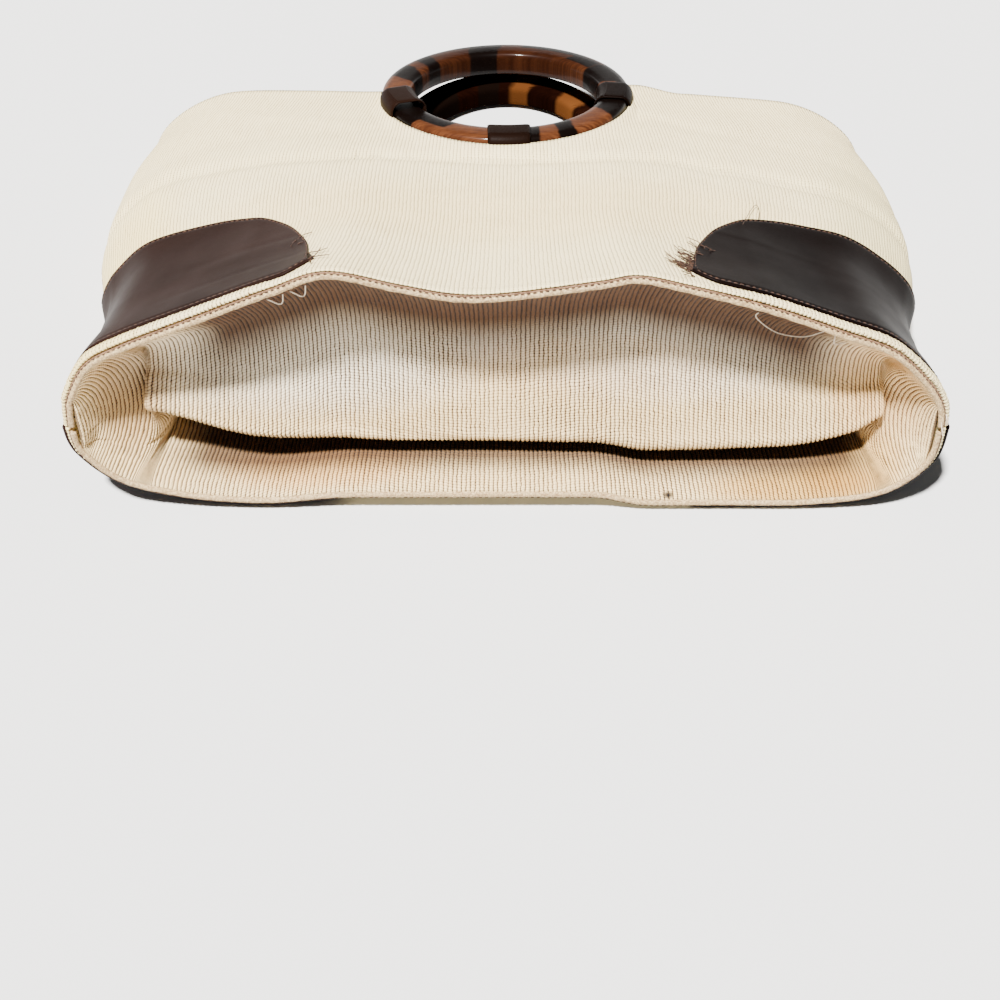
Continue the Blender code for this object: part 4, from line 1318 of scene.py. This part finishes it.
def make_loop(side, name, degrees, slack):
    """A leather strap round a ring, as a closed band of even thickness with rounded edges."""
    angle = math.radians(degrees)
    if side == "back":
        angle, slack = -angle, 0.0
    out = np.array([math.sin(angle), -math.cos(angle), 0.0])
    beside = np.array([math.cos(angle), math.sin(angle), 0.0])
    line = smooth_path(strap_line(slack), 130)
    tangents = unit(np.gradient(line, axis=0))
    ways = np.stack([tangents[:, 1], -tangents[:, 0]], -1)
    across = np.linspace(-1.0, 1.0, 25)
    bulge = np.sqrt(np.clip(1.0 - np.abs(across) ** 10, 0.0, 1.0)) * 0.5 * STRAP
    sideways = across * 0.5 * STRAP_WIDTH
    grids = []
    for sign in (1.0, -1.0):
        place = line[:, None, :] + sign * ways[:, None, :] * bulge[None, :, None]
        distance = RING_RADIUS + place[..., 0]
        on_ring = np.minimum(distance, RING_RADIUS + 0.002)
        reach = np.sqrt(on_ring**2 - sideways[None, :] ** 2) + distance - on_ring
        spot = out * reach[..., None] + beside * sideways[None, :, None]
        spot[..., 2] += place[..., 1]
        grids.append(spot)
    ring_of = np.concatenate([grids[0], grids[1][:, -2:0:-1]], axis=1)
    count = ring_of.shape[1]
    points = to_bag(side, ring_of)
    faces = grid_faces(len(line), count, closed=True)
    faces.append(tuple(range(count))[::-1])
    faces.append(tuple(range((len(line) - 1) * count, len(line) * count)))
    piece = add_mesh(f"{side}_{name}_strap", points, facing_out(points, faces), strap_leather)
    finish_piece(piece, [f"{side}_{name}_loop"])


for side in SIDES:
    for name, degrees, slack in LOOPS:
        make_loop(side, name, degrees, slack)

# %% [markdown]
# ## Loose and frayed threads
#
# The bag is worn: cut threads stick out at the patches' tips and at the right seam, and two single threads
# hang loose. Hair curves could draw them, but an export needs meshes, so each is a thin tube along a smooth
# path.

# %% Threads
def on_panel(side, u, metres, lift):
    """A point over a panel: its share of the girth, its distance from the rim and its height over the cloth."""
    return one_point(PANELS[side], u, metres / panel_length(side, u), lift)


def make_frays():
    """Cut thread ends round the tips of the front patches."""
    chosen = random.Random(12)
    girth = SIDES["front"]["rim"].girth
    parts = []
    for hand, count in (("right", 54), ("left", 9)):
        for _ in range(count):
            metres = chosen.uniform(0.008, 0.043)
            back = PATCH_GIRTH * (1.0 - 0.16 * (metres / 0.044) ** 2) - 0.001
            reach, drift = chosen.uniform(0.003, 0.012), chosen.uniform(-0.006, 0.010)
            places = []
            for k in range(4):
                way = (back + reach * k / 3 + 0.0015 * chosen.uniform(-1, 1)) / girth
                u = way if hand == "left" else 1.0 - way
                lift = 0.0010 + 0.0022 * k / 3 * chosen.uniform(0.3, 1.2)
                places.append(on_panel("front", u, metres + drift * k / 3, lift))
            path = smooth_path(places, 14)
            parts.append(tube(path, np.linspace(0.00026, 0.00016, 14), 5))
    return add_detail("frayed_threads", join_parts(parts), seam_thread)


make_frays()


def loose_thread(name, places, diameter, material):
    """A single loose thread along a smooth path."""
    path = smooth_path(places, 60)
    piece = add_detail(name, tube(path, np.full(60, 0.5 * diameter), 8), material)


cream_places = [
    one_point(BASE, 0.780, 0.02, 0.0012), one_point(BASE, 0.781, 0.05, 0.0030),
    one_point(BASE, 0.800, 0.08, 0.0050), one_point(BASE, 0.8175, 0.08, 0.0060),
    one_point(BASE, 0.840, 0.05, 0.0050), on_panel("front", 0.812, 0.0006, -0.0030),
    on_panel("front", 0.821, 0.0006, -0.0036), one_point(BASE, 0.872, 0.03, 0.0040),
    one_point(BASE, 0.885, 0.05, 0.0022),
]
loose_thread("loose_cream_thread", cream_places, 0.0005, cream_thread)
curl_places = [
    on_panel("front", place, metres, lift)
    for place, metres, lift in (
        (0.748, 0.062, 0.0008), (0.757, 0.069, 0.0016), (0.7612, 0.074, 0.0022), (0.769, 0.087, 0.0026),
        (0.7745, 0.0945, 0.0024), (0.7775, 0.0955, 0.0024), (0.7800, 0.091, 0.0022), (0.7788, 0.081, 0.0018),
        (0.772, 0.0725, 0.0010),
    )
]
loose_thread("curled_brown_thread", curl_places, 0.0003, seam_thread)


def make_seam_frays():
    """Frayed cloth ends at the right seam and two small loops under the front rim."""
    chosen = random.Random(5)
    parts = []
    for _ in range(16):
        u, metres = 1.0 - chosen.uniform(0.002, 0.020), chosen.uniform(0.0, 0.003)
        lift = chosen.uniform(-0.002, 0.001)
        reach = chosen.uniform(0.002, 0.005)
        places = [
            on_panel("front", u + 0.002 * chosen.uniform(-1, 1), metres, lift) - (0.0, reach * k / 3, 0.0006 * k)
            for k in range(4)
        ]
        parts.append(tube(smooth_path(places, 10), np.linspace(0.00028, 0.00012, 10), 5))
    for start in (0.236, 0.262):
        arch = [math.sin(math.pi * k / 6) for k in range(7)]
        places = [
            one_point(BASE, start + 0.003 * k, 0.03 + 0.05 * arch[k], 0.0008 + 0.002 * arch[k]) for k in range(7)
        ]
        parts.append(tube(smooth_path(places, 16), np.full(16, 0.0003), 5))
    return add_detail("frayed_cloth", join_parts(parts), cream_thread)


make_seam_frays()

# %% [markdown]
# ## The three cloths
#
# Each cloth was cut flat before it was sewn. A simulation could only guess that size from the folded mesh.

# %% Sheets
# The panels were cut to the rim's girth by the panel's length with its turned hem. The base is one strip.
print("three cloths: two panels and the base")

# %% [markdown]
# ## Floor, light and camera
#
# The floor is plain and pale. A sun lamp shines from high on the left and a little from the camera's side,
# and the sky adds a little light from all round. Area lamps could do the same, but a sun lights both ends
# of the bag alike. The camera looks down at the open base end, as in the photo.

# %% Stage
FLOOR_REACH = 40.0
FLOOR_LEVEL = -0.0002
CAMERA_PLACE = (0.0, -0.587, 0.6113)
CAMERA_AIM = (0.0, -0.1462, 0.0045)
floor_paint = Paint("pale_floor", Roughness=0.9)
floor_grain = floor_paint.noise(floor_paint.place(), 3.0, 2.0)
floor_paint.feed(Base_Color=floor_paint.colour(floor_grain, (0.66, 0.66, 0.66), (0.69, 0.69, 0.69)))
floor_corners = [
    (FLOOR_REACH * x, FLOOR_REACH * y, FLOOR_LEVEL) for x, y in ((-1, -1), (1, -1), (1, 1), (-1, 1))
]
floor = add_mesh("floor", floor_corners, [(0, 1, 2, 3)], floor_paint.material)

world = bpy.data.worlds.new("soft_studio")
bpy.context.scene.world = world
world.use_nodes = True
background = world.node_tree.nodes["Background"]
background.inputs["Color"].default_value = (1.0, 1.0, 1.0, 1.0)
background.inputs["Strength"].default_value = 0.12

light = bpy.data.lights.new("key", "SUN")
light.angle, light.energy, light.color = math.radians(5.0), 17.0, (1.0, 0.98, 0.95)
lamp = bpy.data.objects.new("key", light)
lamp.rotation_euler = Vector((0.22, 0.24, -1.0)).to_track_quat("-Z", "Y").to_euler()
show(lamp)

camera_data = bpy.data.cameras.new("camera")
camera_data.sensor_width, camera_data.lens = 36.0, 59.4
camera_data.shift_x, camera_data.shift_y = -0.006, 0.003
camera = bpy.data.objects.new("camera", camera_data)
camera.location = CAMERA_PLACE
camera.rotation_euler = (Vector(CAMERA_AIM) - camera.location).to_track_quat("-Z", "Y").to_euler()
show(camera)
bpy.context.scene.camera = camera
print("camera", [round(value, 3) for value in camera.location])

# %% Finish
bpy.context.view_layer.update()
bpy.data.objects.remove(stitch_shape)
